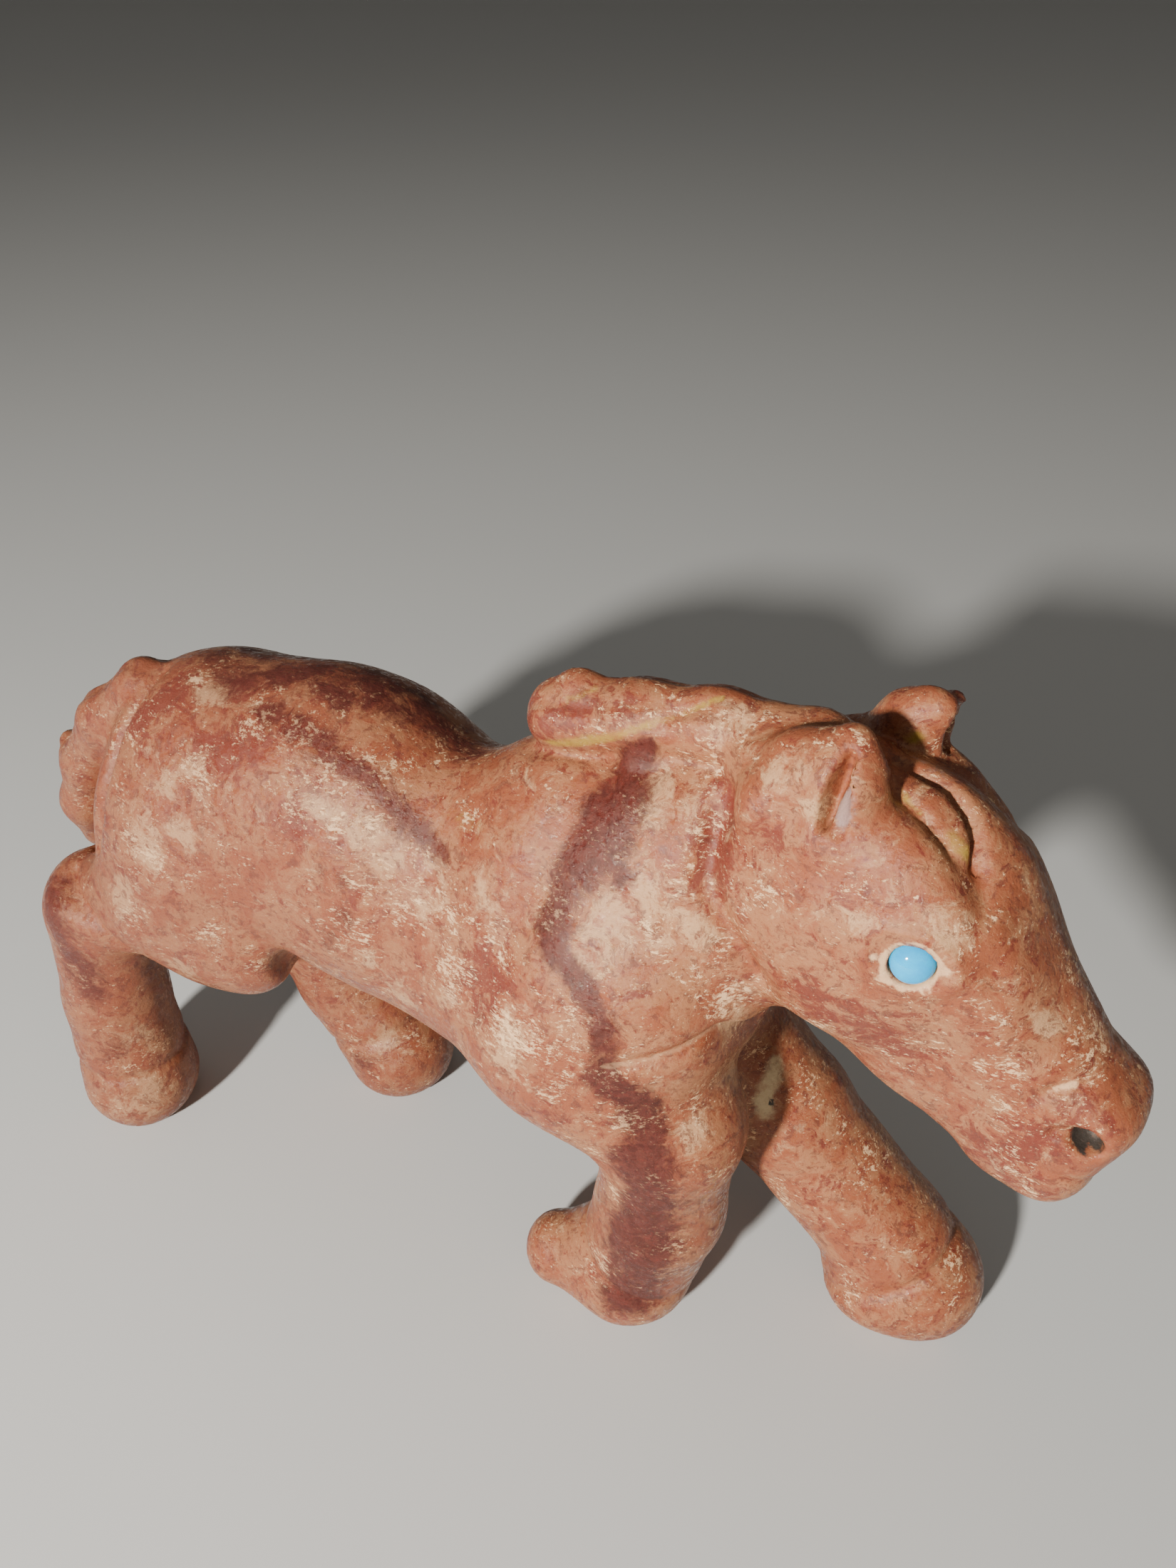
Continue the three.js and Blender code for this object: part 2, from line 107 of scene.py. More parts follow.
def soft_min(a, b, blend):
    overlap = np.maximum(blend - np.abs(a - b), 0.0) / blend
    return np.minimum(a, b) - overlap * overlap * blend * 0.25


def spaced(*stops):
    """Planes from stop to stop; each stop is a place and the step that holds from there on."""
    return np.concatenate([np.arange(a, b, step) for (a, step), (b, _) in zip(stops, stops[1:])])


class Block:
    def __init__(self, planes):
        self.planes = planes
        self.distance = np.full([len(p) for p in planes], UNCUT)

    def window(self, low, high):
        """The part of the grid between two corners, with its coordinates."""
        cut = []
        for planes, a, b in zip(self.planes, low, high):
            cut.append(slice(max(np.searchsorted(planes, a) - 1, 0), np.searchsorted(planes, b) + 1))
        x, y, z = (planes[part] for planes, part in zip(self.planes, cut))
        return tuple(cut), x[:, None, None], y[None, :, None], z[None, None, :]

    def add(self, form, blend):
        distance, low, high = form
        part, x, y, z = self.window(low - blend - 1, high + blend + 1)
        self.distance[part] = soft_min(self.distance[part], distance(x, y, z), blend)

    def cut(self, form, blend):
        distance, low, high = form
        part, x, y, z = self.window(low - blend - 1, high + blend + 1)
        self.distance[part] = -soft_min(-self.distance[part], distance(x, y, z), blend)

    def score(self, line):
        depth, low, high = line
        part, x, y, z = self.window(low, high)
        self.distance[part] += depth(x, y, z)

    def tell(self, what):
        """Prints how much stone there is after a step."""
        filled = (self.distance < 0).astype(float)
        for planes in reversed(self.planes):
            filled = filled @ np.gradient(planes)
        print(what, "- stone so far, cm3:", round(float(filled) / 1000, 2))


block = Block([
    spaced((-42.0, 0.42), (12.0, 0.27), (19.2, 0.18), (22.2, 0.27), (40.0, 0)),
    spaced((-14.0, 0.33), (-6.41, 0.22), (-3.33, 0.33), (14.0, 0)),
    spaced((-1.5, 0.40), (22.0, 0.27), (42.5, 0.20), (51.0, 0)),
])
print("grid:", block.distance.shape)

# %% [markdown]
# ## Two kinds of form
#
# Nearly everything on the horse is a rounded mass or a tapered limb. A mass is an ellipsoid that can
# be tilted, turned and made boxier. A limb is a chain of tapered bars. A groove is drawn along a line
# and only reaches the face that it looks toward, as a burin would.

# %% Masses and limbs
BAR_FILLET = 1.0


def turning(tilt, turn, roll):
    """Columns are the turned axes. Tilt lifts the front end, turn swings it left, roll leans it over."""
    t, n, r = np.radians([tilt, turn, roll])
    lift = np.array([[np.cos(t), 0, -np.sin(t)], [0, 1, 0], [np.sin(t), 0, np.cos(t)]])
    swing = np.array([[np.cos(n), -np.sin(n), 0], [np.sin(n), np.cos(n), 0], [0, 0, 1]])
    lean = np.array([[1, 0, 0], [0, np.cos(r), -np.sin(r)], [0, np.sin(r), np.cos(r)]])
    return swing @ lift @ lean


def mass(centre, radii, tilt=0.0, turn=0.0, roll=0.0, squareness=2.0):
    centre, radii = np.array(centre, float), np.array(radii, float)
    axes = turning(tilt, turn, roll)

    def distance(x, y, z):
        away = (x - centre[0], y - centre[1], z - centre[2])
        shares = [np.abs(sum(axes[j, i] * away[j] for j in range(3))) / radii[i] for i in range(3)]
        size = np.maximum(sum(s**squareness for s in shares), 1e-9) ** (1 / squareness)
        slope = np.sqrt(sum((s ** (squareness - 1) / r) ** 2 for s, r in zip(shares, radii)))
        return (size - 1) * size ** (squareness - 1) / np.maximum(slope, 1e-6)

    reach = np.abs(axes) @ radii
    return distance, centre - reach, centre + reach


def head_mass(x, y, z, radii, **shape):
    return mass(on_head(x, y, z), radii, turn=HEAD_YAW, **shape)


def limb(points, radii, flatness=1.0):
    points, radii = np.array(points, float), np.array(radii, float)
    widen = np.array([1.0, 1.0 / flatness, 1.0])

    def distance(x, y, z):
        result = None
        for a, b, r_a, r_b in zip(points[:-1], points[1:], radii[:-1], radii[1:]):
            span = (b - a) * widen
            away = (x - a[0], (y - a[1]) * widen[1], z - a[2])
            share = np.clip(sum(w * s for w, s in zip(away, span)) / (span @ span), 0, 1)
            far = np.sqrt(sum((w - share * s) ** 2 for w, s in zip(away, span)))
            bar = (far - r_a - share * (r_b - r_a)) * math.sqrt(flatness)
            result = bar if result is None else soft_min(result, bar, BAR_FILLET)
        return result

    return distance, points.min(0) - radii.max(), points.max(0) + radii.max()


def head_limb(points, radii, **shape):
    return limb([on_head(*p) for p in points], radii, **shape)


# %% Grooves
RIGHT, LEFT = (0, -1, 0), (0, 1, 0)


def groove(points, toward, width, depth, reach=6.0):
    """Cuts a line into the face that looks toward a direction. A negative depth raises it."""
    points = np.array(points, float)
    out = np.array(toward, float) / np.linalg.norm(toward)
    widths = np.broadcast_to(width, len(points))
    depths = np.broadcast_to(depth, len(points))

    def amount(x, y, z):
        most = 0.0
        for i, (a, b) in enumerate(zip(points[:-1], points[1:])):
            span = b - a
            rise = span @ out
            flat = span - rise * out
            away = (x - a[0], y - a[1], z - a[2])
            up = sum(w * o for w, o in zip(away, out))
            share = np.clip(sum(w * f for w, f in zip(away, flat)) / (flat @ flat), 0, 1)
            off2 = sum((w - up * o - share * f) ** 2 for w, o, f in zip(away, out, flat))
            near = np.clip(reach - np.abs(up - share * rise), 0, 1)
            wide = widths[i] + share * (widths[i + 1] - widths[i])
            deep = depths[i] + share * (depths[i + 1] - depths[i])
            line = deep * np.exp(-off2 / wide**2) * near
            most = np.where(np.abs(line) > np.abs(most), line, most)
        return most

    margin = 2.5 * widths.max() + reach * np.abs(out)
    return amount, points.min(0) - margin, points.max(0) + margin


# %% [markdown]
# ## Body and neck
#
# The trunk is a few overlapping masses: the rump, which leans back, the barrel, the raised loin, the
# belly and the deep chest. The neck is a thick limb pressed flat from both sides.

# %% Rough out the trunk
block.add(mass((-20.0, 0, 28.7), (8.7, 8.0, 10.2), tilt=12), 4)
block.add(mass((-8.5, 0, 28.5), (15, 7.8, 9.9), tilt=-12), 5)
block.add(mass((-10.5, 0, 33.0), (8, 6.6, 6.9), tilt=-8), 3)
block.add(mass((0.5, 0, 24.3), (6.5, 6.6, 6.6)), 3)
block.add(mass((7.5, 0, 27.5), (9.6, 8.6, 9.7)), 5)
block.add(limb([(7, 0, 33.0), (18, 0, 36.6)], [8.3, 6.8], flatness=0.78), 3.5)
block.tell("trunk and neck")

# %% [markdown]
# ## Four legs in mid stride
#
# Each leg starts from a flattened mass on the flank, the thigh or the shoulder, and goes on as a
# limb that is widest at the hoof. The right hind leg is pushed back, the left one swings under the
# belly, the right foreleg folds back at the hoof and the left one reaches far out in front.

# %% Hind legs
for side in (-1, 1):
    block.add(mass((-21, side * 4.6, 24.9), (6.6, 4.6, 8.6), tilt=-10 * side), 2.3)
block.add(mass((-17.5, -5.5, 22.5), (4.6, 3.1, 4.9)), 0.9)
block.add(limb([(-23.5, -5.0, 23), (-29.4, -5.5, 20.0)], [4.0, 3.4]), 2)
block.add(limb([(-29.9, -5.5, 20.0), (-30.8, -5.8, 11.3), (-30.2, -6.1, 3.3)], [3.8, 3.6, 4.3]), 1.5)
block.cut(limb([(-12.3, -9, 24.6), (-12.2, -6.0, 21.4), (-12.2, -4.0, 19.6)], [0.5, 1.3, 1.8]), 0.7)
block.add(limb([(-22, 5, 20), (-18, 5.4, 9), (-14, 5.6, 3)], [4.8, 3.8, 4.3]), 2)
block.tell("hind legs")

# %% Forelegs
for side in (-1, 1):
    block.add(mass((8.5, side * 5.2, 26), (6.6, 4.4, 8), tilt=-30), 3)
block.add(limb([(7, -5, 24), (13.2, -4.4, 19.3)], [5, 4.3]), 2)
block.add(limb([(13.2, -4.2, 19.3), (12.9, -4.2, 11), (11.1, -3.8, 3.8)], [4.2, 3.9, 4.1]), 1.5)
block.add(limb([(10, -3.9, 2.9), (6.1, -4.6, 2.5)], [3.5, 2.5]), 2)
block.add(limb([(11, 4.6, 20), (17.8, 4.6, 13.3), (25.5, 4.4, 5.5), (28.1, 4.3, 2.8)], [5, 4.2, 4.1, 4.3]), 2)
block.add(mass((26.2, 3.4, 2.6), (4.2, 4.0, 3.4)), 1)
block.tell("forelegs")

# %% [markdown]
# ## Mane and head
#
# The mane is a roll of stone left standing along the crest, with a lump at its rear end. The head is
# long and heavy: a skull, a broad flat disc for each cheek, a straight nose, a jaw, and a blunt
# squared muzzle. Every form of the head is placed from the head's own mid-line.

# %% Mane
crest = [(4.6, 0, 42.0), (9, 0, 42.9), (13, 0, 43.7), (18.0, 0, 44.3), (20.5, 0, 44.0)]
block.add(limb(crest, [2.3, 2.15, 1.9, 1.5, 1.2]), 0.8)
block.add(mass((5.3, 0, 44.2), (1.2, 1.0, 0.8)), 0.6)

# %% Head
block.add(head_mass(22.2, 0, 37.4, (7.2, 4.5, 7.2)), 0.7)
for side in (-1, 1):
    block.add(head_mass(21.1, side * 3.4, 37.6, (6.7, 3.2, 6.7), tilt=-15), 0.9)
block.add(head_limb([(25.2, 0, 36.8), (31.6, 0, 30.2)], [4.9, 3.8]), 2)
block.add(head_limb([(21, 0, 33.0), (26, 0, 30.0), (30.4, 0, 26.9)], [4.4, 3.8, 3.2]), 2)
block.add(head_mass(32.5, 0, 27.4, (3.3, 3.5, 4.1), tilt=-14, squareness=3.0), 1)
block.add(head_mass(34.2, 0, 29.8, (2.4, 3.1, 2.2), tilt=-30, squareness=2.6), 0.8)
for side in (-1, 1):
    block.add(head_mass(25, side * 3.2, 39.2, (2.8, 2.2, 2.2), tilt=-35), 1.2)
    block.add(head_mass(27.6, side * 2.3, 37.0, (4.4, 2.5, 2.4), tilt=-58), 1.2)
block.tell("mane and head")

# %% [markdown]
# ## Ears and forelock
#
# The ears are thick leaves, because thin stone would snap. The right one lies back against the
# cheek and keeps a ridge behind it, and stone is left between it and the mane. Its front is opened by
# a narrow slit that widens downward into a hollow. The left one stands up and forward, with a blunt
# tip. Between them a lock of hair falls over the forehead.

# %% Right ear
block.add(limb([(15.2, -1.0, 43.4), (19.5, -1.2, 44.0)], [1.6, 1.6]), 0.6)
block.add(head_limb([(20.2, -3.3, 42.5), (20.35, -3.3, 45.2), (20.5, -3.0, 47.0)], [2.6, 1.85, 0.6]), 0.8)
block.add(head_limb([(20.3, -3.0, 46.2), (18.4, -3.2, 44.8), (16.8, -3.5, 43.0)], [1.0, 1.7, 2.2]), 1)
slit = [(20.75, -4.3, 46.6), (20.6, -5.0, 45.4), (20.6, -5.5, 44.3), (20.8, -5.8, 43.6)]
block.cut(limb(slit, [0.12, 0.22, 0.32, 0.45]), 0.12)
rear_edge = [(20.55, -4.2, 46.9), (20.3, -4.8, 45.6), (20.1, -5.0, 44.6), (20.1, -5.0, 43.4)]
block.score(groove(rear_edge, (-0.2, -1, 0.3), 0.22, [0.3, 0.9, 1.1, 0.7], 1.8))
block.cut(limb([(20.9, -2.0, 47.6), (21.5, -2.3, 46.2), (22.0, -2.8, 45.0)], [0.5, 0.4, 0.15]), 0.2)

# %% Left ear
block.add(head_limb([(20.7, 3.2, 43.4), (21.6, 3.2, 45.0), (22.4, 3.2, 46.0)], [1.6, 1.35, 1.0]), 0.6)
block.add(head_limb([(22.2, 3.2, 43.0), (23.0, 3.2, 46.0)], [1.1, 0.85]), 0.5)
block.add(head_limb([(22.4, 4.4, 43.2), (23.3, 4.3, 46.0)], [0.9, 0.6]), 0.4)
block.cut(head_limb([(24.2, 3.75, 46.4), (23.7, 3.75, 45.2), (23.4, 3.6, 43.8)], [0.3, 0.55, 0.4]), 0.15)

# %% Forelock
lock = [(21.6, -1.5, 43.5), (23.4, -1.8, 42.9), (25.0, -2.3, 41.9), (26.2, -2.9, 40.8)]
block.add(limb(lock, [1.1, 1.1, 0.9, 0.5]), 0.8)
block.tell("ears and forelock")

# %% [markdown]
# ## Tail
#
# The tail is short and lies against the rump. A filler of stone joins it to the body, as on the real
# carving, where undercutting it would have been too risky. Its edge juts out twice, where locks end.

# %% Tail
block.add(limb([(-26.3, -0.2, 31), (-29.6, -0.2, 22.8)], [3.4, 3.0]), 1.5)
tail_line = [(-22.0, -0.6, 36.6), (-25.4, -1, 36.1), (-29.2, -1.2, 33.0),
             (-32.6, -1.2, 28.6), (-34.0, -1, 24.8), (-34.2, -0.8, 21.8)]
block.add(limb(tail_line, [1.2, 1.9, 2.0, 1.8, 1.9, 1.3]), 0.35)
block.add(mass((-33.8, -1.1, 29.4), (1.3, 1.2, 0.8), tilt=-40), 0.5)
block.add(mass((-35.1, -1, 24.6), (0.9, 1.0, 0.8)), 0.5)
block.tell("tail")

# %% [markdown]
# ## Drawing on the stone
#
# Grooves part the cheek from the neck, the elbow from the chest and the thigh from the hind leg. Fine
# lines mark strands in the mane and the tail, and a deeper one parts the tail from the right buttock.
# Two of the lines get a name, because pale polish has dried in one and the other is darkened with
# painted shade, and we paint them later.

# %% Engrave the body
def draw(points, toward, width, depth, reach=6.0):
    block.score(groove(points, toward, width, depth, reach))


def flank(points, side=-1, y=7.0):
    return [(x, side * y, z) for x, z in points]


cheek_back = [(17.6, 45.6), (15.6, 44.2), (14.5, 41.5), (14.6, 38), (16.2, 35.3), (17.8, 33)]
for side, y, toward in ((-1, 6, RIGHT), (1, 5, LEFT)):
    draw(flank(cheek_back, side, y), toward, 0.75, [0.2, 0.6, 0.85, 0.85, 0.8, 0.5], 3.6)
elbow = flank([(11.4, 27.6), (15.8, 28.8), (17.9, 24.8)], -1, 6)
draw(elbow, RIGHT, 0.45, [0.2, 0.6, 0.6])
draw(flank([(-30, 23.2), (-26.5, 22), (-23, 18.8)]), RIGHT, 0.6, 0.65)
draw(flank([(7.5, 40.5), (5.6, 34), (2.4, 27)]), RIGHT, 1.4, [0.3, 0.45, 0.2])

# %% Engrave mane and tail
for y, z, depth in ((-2.2, 41.0, 0.4), (-1.5, 43.3, 0.16), (0.9, 43.9, 0.18), (2.2, 41.0, 0.35)):
    strand = [(3.0, y, z), (6.5, y * 1.05, z + 0.5), (10, y * 0.85, z + 1.6), (15, y * 0.75, z + 1.7)]
    draw(strand, (0, y, 2), 0.34, [depth, depth, depth * 0.6, 0.1], 2.0)
draw([(9.6, -1.9, 43.6), (11.6, -1.3, 44.9), (13.6, -0.5, 45.6)], (0, -1, 2), 0.3, [0.1, 0.28, 0.1], 2.0)
for dy in (-0.5, 0.7):
    strand = [(x - 1.2, y + dy, z + 1.0) for x, y, z in tail_line]
    draw(strand, (-1, dy, 0.8), 0.34, [0.1, 0.16, 0.16, 0.16, 0.16, 0.2], 3.0)
BUTTOCK = (-0.4, -0.7, 0.5)
beside_tail = [(-23.6, -1.8, 38.4), (-23.8, -3.6, 37.0), (-24.2, -5.4, 34.7),
               (-24.4, -6.7, 32.5), (-24.7, -7.3, 30.5), (-25.6, -7.6, 27.8)]
draw(beside_tail, BUTTOCK, 0.42, [0.3, 0.8, 0.9, 0.9, 0.8, 0.5], 2.4)
block.tell("engraving")

# %% [markdown]
# ## The face
#
# The face carries the finest cuts: a raised lid around each eye, the crease between forehead and
# temple, the forelock's edges, a groove above each nostril, and the mouth. The bands above the hooves
# are just as fine, so they are cut here too. The eye seats are cut a little larger than the stones
# that they hold.

# %% Lids and creases of the face
EYE_RADII = (1.08, 0.8, 1.12)
LID_LENGTH, LID_HEIGHT = 2.1, 1.62
FACE_REACH = 2.5
for side in (-1, 1):
    out = (side * HEAD_TURN, side, 0.35)
    lid = []
    for angle in np.linspace(0, 2 * np.pi, 17):
        along, up = LID_LENGTH * math.cos(angle), LID_HEIGHT * math.sin(angle)
        lid.append(on_head(EYE_CENTRE[0] + along, side * EYE_CENTRE[1], EYE_CENTRE[2] + up - 0.05 * along))
    draw(lid, out, 0.34, -0.24, FACE_REACH)
    draw([on_head(x, side * 5.5, 37.9) for x in (27.0, 27.9)], out, 0.35, -0.14, FACE_REACH)
    out = (0.3 + side * HEAD_TURN, side, 0.2)
    for points, width, depth in (
        ([(25.6, 3.4, 42.6), (26.8, 3.2, 41.6), (27.4, 3.6, 40.7), (27.5, 4.2, 39.9)],
         0.5, [0.1, 0.3, 0.3, 0.1]),
        ([(27.9, 4.2, 39.4), (28.4, 4.2, 38.4), (28.9, 4.2, 37.2)], 0.5, [0.05, 0.16, 0.05]),
        ([(31.2, 3.6, 31.2), (32.3, 3.4, 32.2), (33.6, 2.6, 32.5)], 0.32, [0.1, 0.32, 0.1]),
        ([(32.0, 3.4, 27.2), (33.9, 3.2, 27.0), (35.4, 2.6, 26.6)], 0.26, [0.1, 0.26, 0.15]),
    ):
        draw([on_head(x, side * y, z) for x, y, z in points], out, width, depth, FACE_REACH)

# %% Edges of the forelock
left_of_lock = [(21.9, -0.5, 45.0), (23.3, -0.7, 44.6), (24.6, -0.9, 44.2),
                (25.7, -1.5, 43.5), (26.3, -2.2, 42.8), (26.7, -3.0, 42.0)]
draw(left_of_lock, (0.6, 0, 1), 0.3, [0.3, 0.6, 0.7, 0.7, 0.6, 0.3], 2.0)
right_of_lock = [(22.2, -3.0, 45.0), (22.9, -2.6, 44.2), (23.7, -2.9, 43.8), (24.7, -3.4, 43.2),
                 (25.6, -3.7, 42.5)]
draw(right_of_lock, (0.5, -0.6, 1), 0.28, [0.2, 0.3, 0.3, 0.3, 0.1], 2.0)

# %% Bands above the hooves
BAND_DEPTH, BAND_WIDTH = 0.33, 0.35


def around_hoof(centre, normal, size):
    """A ring cut around a leg, in the plane that a normal is square to."""
    centre, normal = np.array(centre), np.array(normal) / np.linalg.norm(normal)

    def depth(x, y, z):
        away = (x - centre[0], y - centre[1], z - centre[2])
        along = sum(a * n for a, n in zip(away, normal))
        out = np.sqrt(np.maximum(sum(a * a for a in away) - along**2, 0))
        return BAND_DEPTH * np.exp(-((along / BAND_WIDTH) ** 2)) * np.clip(size - out, 0, 1)

    return depth, centre - size, centre + size


block.score(around_hoof((26.6, 4.4, 4.9), (0.55, 0, -0.83), 6.0))
block.score(around_hoof((-15.6, 5.6, 5.6), (0.35, 0, -0.93), 5.5))
block.score(around_hoof((12.0, -4.0, 5.6), (-0.35, 0, -0.93), 5.5))
block.score(around_hoof((-29.9, -6.0, 6.2), (0, 0, 1), 5.5))

# %% Eye seats and nostrils
EYE_TILT, EYE_LEAN, SEAT_GAP = -20, 22, 0.06
for side in (-1, 1):
    seat = [r + SEAT_GAP for r in EYE_RADII]
    block.cut(mass(eye_at(side), seat, tilt=EYE_TILT, turn=HEAD_YAW, roll=side * EYE_LEAN), 0.12)
    block.cut(head_mass(34.3, side * 3.2, 29.7, (0.95, 1.35, 0.68), tilt=-35), 0.2)
    block.cut(head_mass(33.3, side * 3.5, 30.0, (0.8, 0.45, 0.3), tilt=20), 0.4)
block.tell("face and hooves")

# %% [markdown]
# ## The mark of the hand
#
# No surface of a hand-ground carving is perfectly even. A sum of slow waves, a few hundredths of a
# millimetre high, breaks up the highlights the way that the real polish does. Last the soles are
# ground flat, on the plane that the horse stands on.

# %% Unevenness and flat soles
UNEVENNESS = 0.045
WAVES, SHORTEST_WAVE, LONGEST_WAVE = 14, 3.5, 9.0


def waves(x, y, z):
    source = np.random.default_rng(7)
    total = 0.0
    for _ in range(WAVES):
        way = source.normal(size=3)
        way *= 2 * math.pi / source.uniform(SHORTEST_WAVE, LONGEST_WAVE) / np.linalg.norm(way)
        total = total + np.sin(x * way[0] + y * way[1] + z * way[2] + source.uniform(0, 6.28))
    return total / math.sqrt(WAVES)


grid_x, grid_y, grid_z = np.meshgrid(*block.planes, indexing="ij", sparse=True)
block.distance += UNEVENNESS * waves(grid_x, grid_y, grid_z)
block.distance = np.maximum(block.distance, -grid_z)

# %% [markdown]
# ## From distances to a mesh
#
# One knot goes into every grid cell that the surface crosses, at the mean of its crossings, and four
# knots around each crossed grid line make a face. This keeps all faces four-sided and even. The net
# is then relaxed, and each knot is set back on the true surface, so no stair steps are left.

# %% Cover the carving with a net
def cover(block):
    distance, planes = block.distance, block.planes
    inside = distance < 0
    counts = np.array(distance.shape)
    corners = [inside[i:counts[0] - 1 + i, j:counts[1] - 1 + j, k:counts[2] - 1 + k]
               for i in (0, 1) for j in (0, 1) for k in (0, 1)]
    filled = sum(c.astype(np.int8) for c in corners)
    cells = np.argwhere((filled > 0) & (filled < 8))
    index = np.full(counts - 1, -1)
    index[tuple(cells.T)] = np.arange(len(cells))
    knots, hits = np.zeros((len(cells), 3)), np.zeros(len(cells))
    for axis in range(3):
        for u in (0, 1):
            for v in (0, 1):
                start = cells.copy()
                start[:, (axis + 1) % 3] += u
                start[:, (axis + 2) % 3] += v
                end = start.copy()
                end[:, axis] += 1
                d_a, d_b = distance[tuple(start.T)], distance[tuple(end.T)]
                crossed = (d_a < 0) != (d_b < 0)
                share = np.where(crossed, d_a / np.where(crossed, d_a - d_b, 1), 0)
                at = np.stack([planes[n][start[:, n]] for n in range(3)], 1)
                to = np.stack([planes[n][end[:, n]] for n in range(3)], 1)
                knots += np.where(crossed[:, None], at + share[:, None] * (to - at), 0)
                hits += crossed
    faces = []
    for axis in range(3):
        first, second = (axis + 1) % 3, (axis + 2) % 3
        here = [slice(None)] * 3
        there = [slice(None)] * 3
        here[axis], there[axis] = slice(0, -1), slice(1, None)
        edges = np.argwhere(inside[tuple(here)] != inside[tuple(there)])

        def cell(a, b):
            spot = edges.copy()
            spot[:, first] += a
            spot[:, second] += b
            return index[tuple(spot.T)]

        quad = np.stack([cell(-1, -1), cell(0, -1), cell(0, 0), cell(-1, 0)], 1)
        outward = inside[tuple(edges.T)]
        quad[~outward] = quad[~outward][:, ::-1]
        faces.append(quad)
    return knots / hits[:, None], np.concatenate(faces)


knots, faces = cover(block)
print("knots:", len(knots), "faces:", len(faces))

# %% Relax the net and set it on the surface
def felt(block, points):
    """The distance and its slope at points between the planes."""
    low, share, gap = [], [], []
    for n in range(3):
        planes = block.planes[n]
        cell = np.clip(np.searchsorted(planes, points[:, n]) - 1, 0, len(planes) - 2)
        low.append(cell)
        gap.append(planes[cell + 1] - planes[cell])
        share.append((points[:, n] - planes[cell]) / gap[n])
    value, slope = 0.0, [0.0, 0.0, 0.0]
    for i in (0, 1):
        for j in (0, 1):
            for k in (0, 1):
                d = block.distance[low[0] + i, low[1] + j, low[2] + k]
                w = [share[n] if up else 1 - share[n] for n, up in enumerate((i, j, k))]
                value = value + d * w[0] * w[1] * w[2]
                slope[0] = slope[0] + d * w[1] * w[2] * (2 * i - 1) / gap[0]
                slope[1] = slope[1] + d * w[0] * w[2] * (2 * j - 1) / gap[1]
                slope[2] = slope[2] + d * w[0] * w[1] * (2 * k - 1) / gap[2]
    return value, np.stack(slope, 1)


def relaxed(knots, faces, share):
    sums, counts = np.zeros_like(knots), np.zeros(len(knots))
    for n in range(4):
        for other in ((n + 1) % 4, (n + 3) % 4):
            np.add.at(sums, faces[:, n], knots[faces[:, other]])
            np.add.at(counts, faces[:, n], 1)
    return knots + share * (sums / counts[:, None] - knots)


FLATTEST, LONGEST_STEP = 0.05, 0.15
for share in (0.6, 0.6, 0.3):
    knots = relaxed(knots, faces, share)
    value, slope = felt(block, knots)
    steep = np.maximum((slope**2).sum(1), FLATTEST)
    move = np.clip(value / np.sqrt(steep), -LONGEST_STEP, LONGEST_STEP) / np.sqrt(steep)
    knots = knots - move[:, None] * slope
print("left over, mm:", np.abs(felt(block, knots)[0]).max().round(3))

# %% [markdown]
# ## Fit to the frame
#
# The fine mesh has to lie inside the box of the CAD solid, or the figure would grow when it is
# dressed. Where it stands out, the last few millimetres on that side are pressed in a little. The
# rest stays where it is, so the eyes still meet their seats.

# %% Fit and build the mesh object
PRESSED = 5.0
points = knots + shift
points[:, 2] = np.maximum(points[:, 2], 0.0)
for axis in range(3):
    for sign, limit in ((1, horse_high[axis]), (-1, -horse_low[axis])):
        out = sign * points[:, axis]
        over = out.max() - limit
        if over > 0:
            share = np.clip((out - (limit - PRESSED)) / (over + PRESSED), 0, 1)
            points[:, axis] -= sign * over * share
        print("xyz"[axis], "side", sign, "over by, mm:", round(float(over), 3))


def mesh_object(name, points_mm, faces):
    mesh = bpy.data.meshes.new(name)
    mesh.from_pydata((points_mm / 1000).tolist(), [], faces)
    mesh.shade_smooth()
    thing = bpy.data.objects.new(name, mesh)
    bpy.context.scene.collection.objects.link(thing)
    return thing


horse = mesh_object("carved_horse", points, faces.tolist())
print("stone mesh, mm:", (points.max(0) - points.min(0)).round(2))

# %% [markdown]
# ## The bands of the stone
#
# The stone is salmon pink with milky clouds, and a wine-red band runs from the mane over the
# shoulder and down the right foreleg. Such bands cross the whole block, but they can't be foreseen
# by noise alone. So the places where they show are painted on the mesh as soft masks, and the
# material breaks their edges up with noise. The same wine-red mask is widened along the top of the
# back and the croup as painted shade. Each mark is a path of x, y, z and width in millimetres on the
# carver's axes, and a path of one point is a round spot.

# %% Painting soft marks
def near_path(path):
    path = np.array(path if len(path) > 1 else path * 2, float)
    most = np.zeros(len(knots))
    for a, b in zip(path[:-1], path[1:]):
        span = b[:3] - a[:3]
        share = np.clip((knots - a[:3]) @ span / max(span @ span, 1e-9), 0, 1)
        away = knots - a[:3] - share[:, None] * span
        wide = a[3] + share * (b[3] - a[3])
        most = np.maximum(most, np.exp(-(away**2).sum(1) / wide**2))
    return most


def paint(name, values):
    layer = horse.data.attributes.new(name, "FLOAT", "POINT")
    layer.data.foreach_set("value", np.clip(values, 0, 1).astype(np.float32))
    print(name, "mean", values.mean().round(3))


def strongest(marks):
    return np.maximum.reduce([strength * near_path(path) for strength, path in marks])
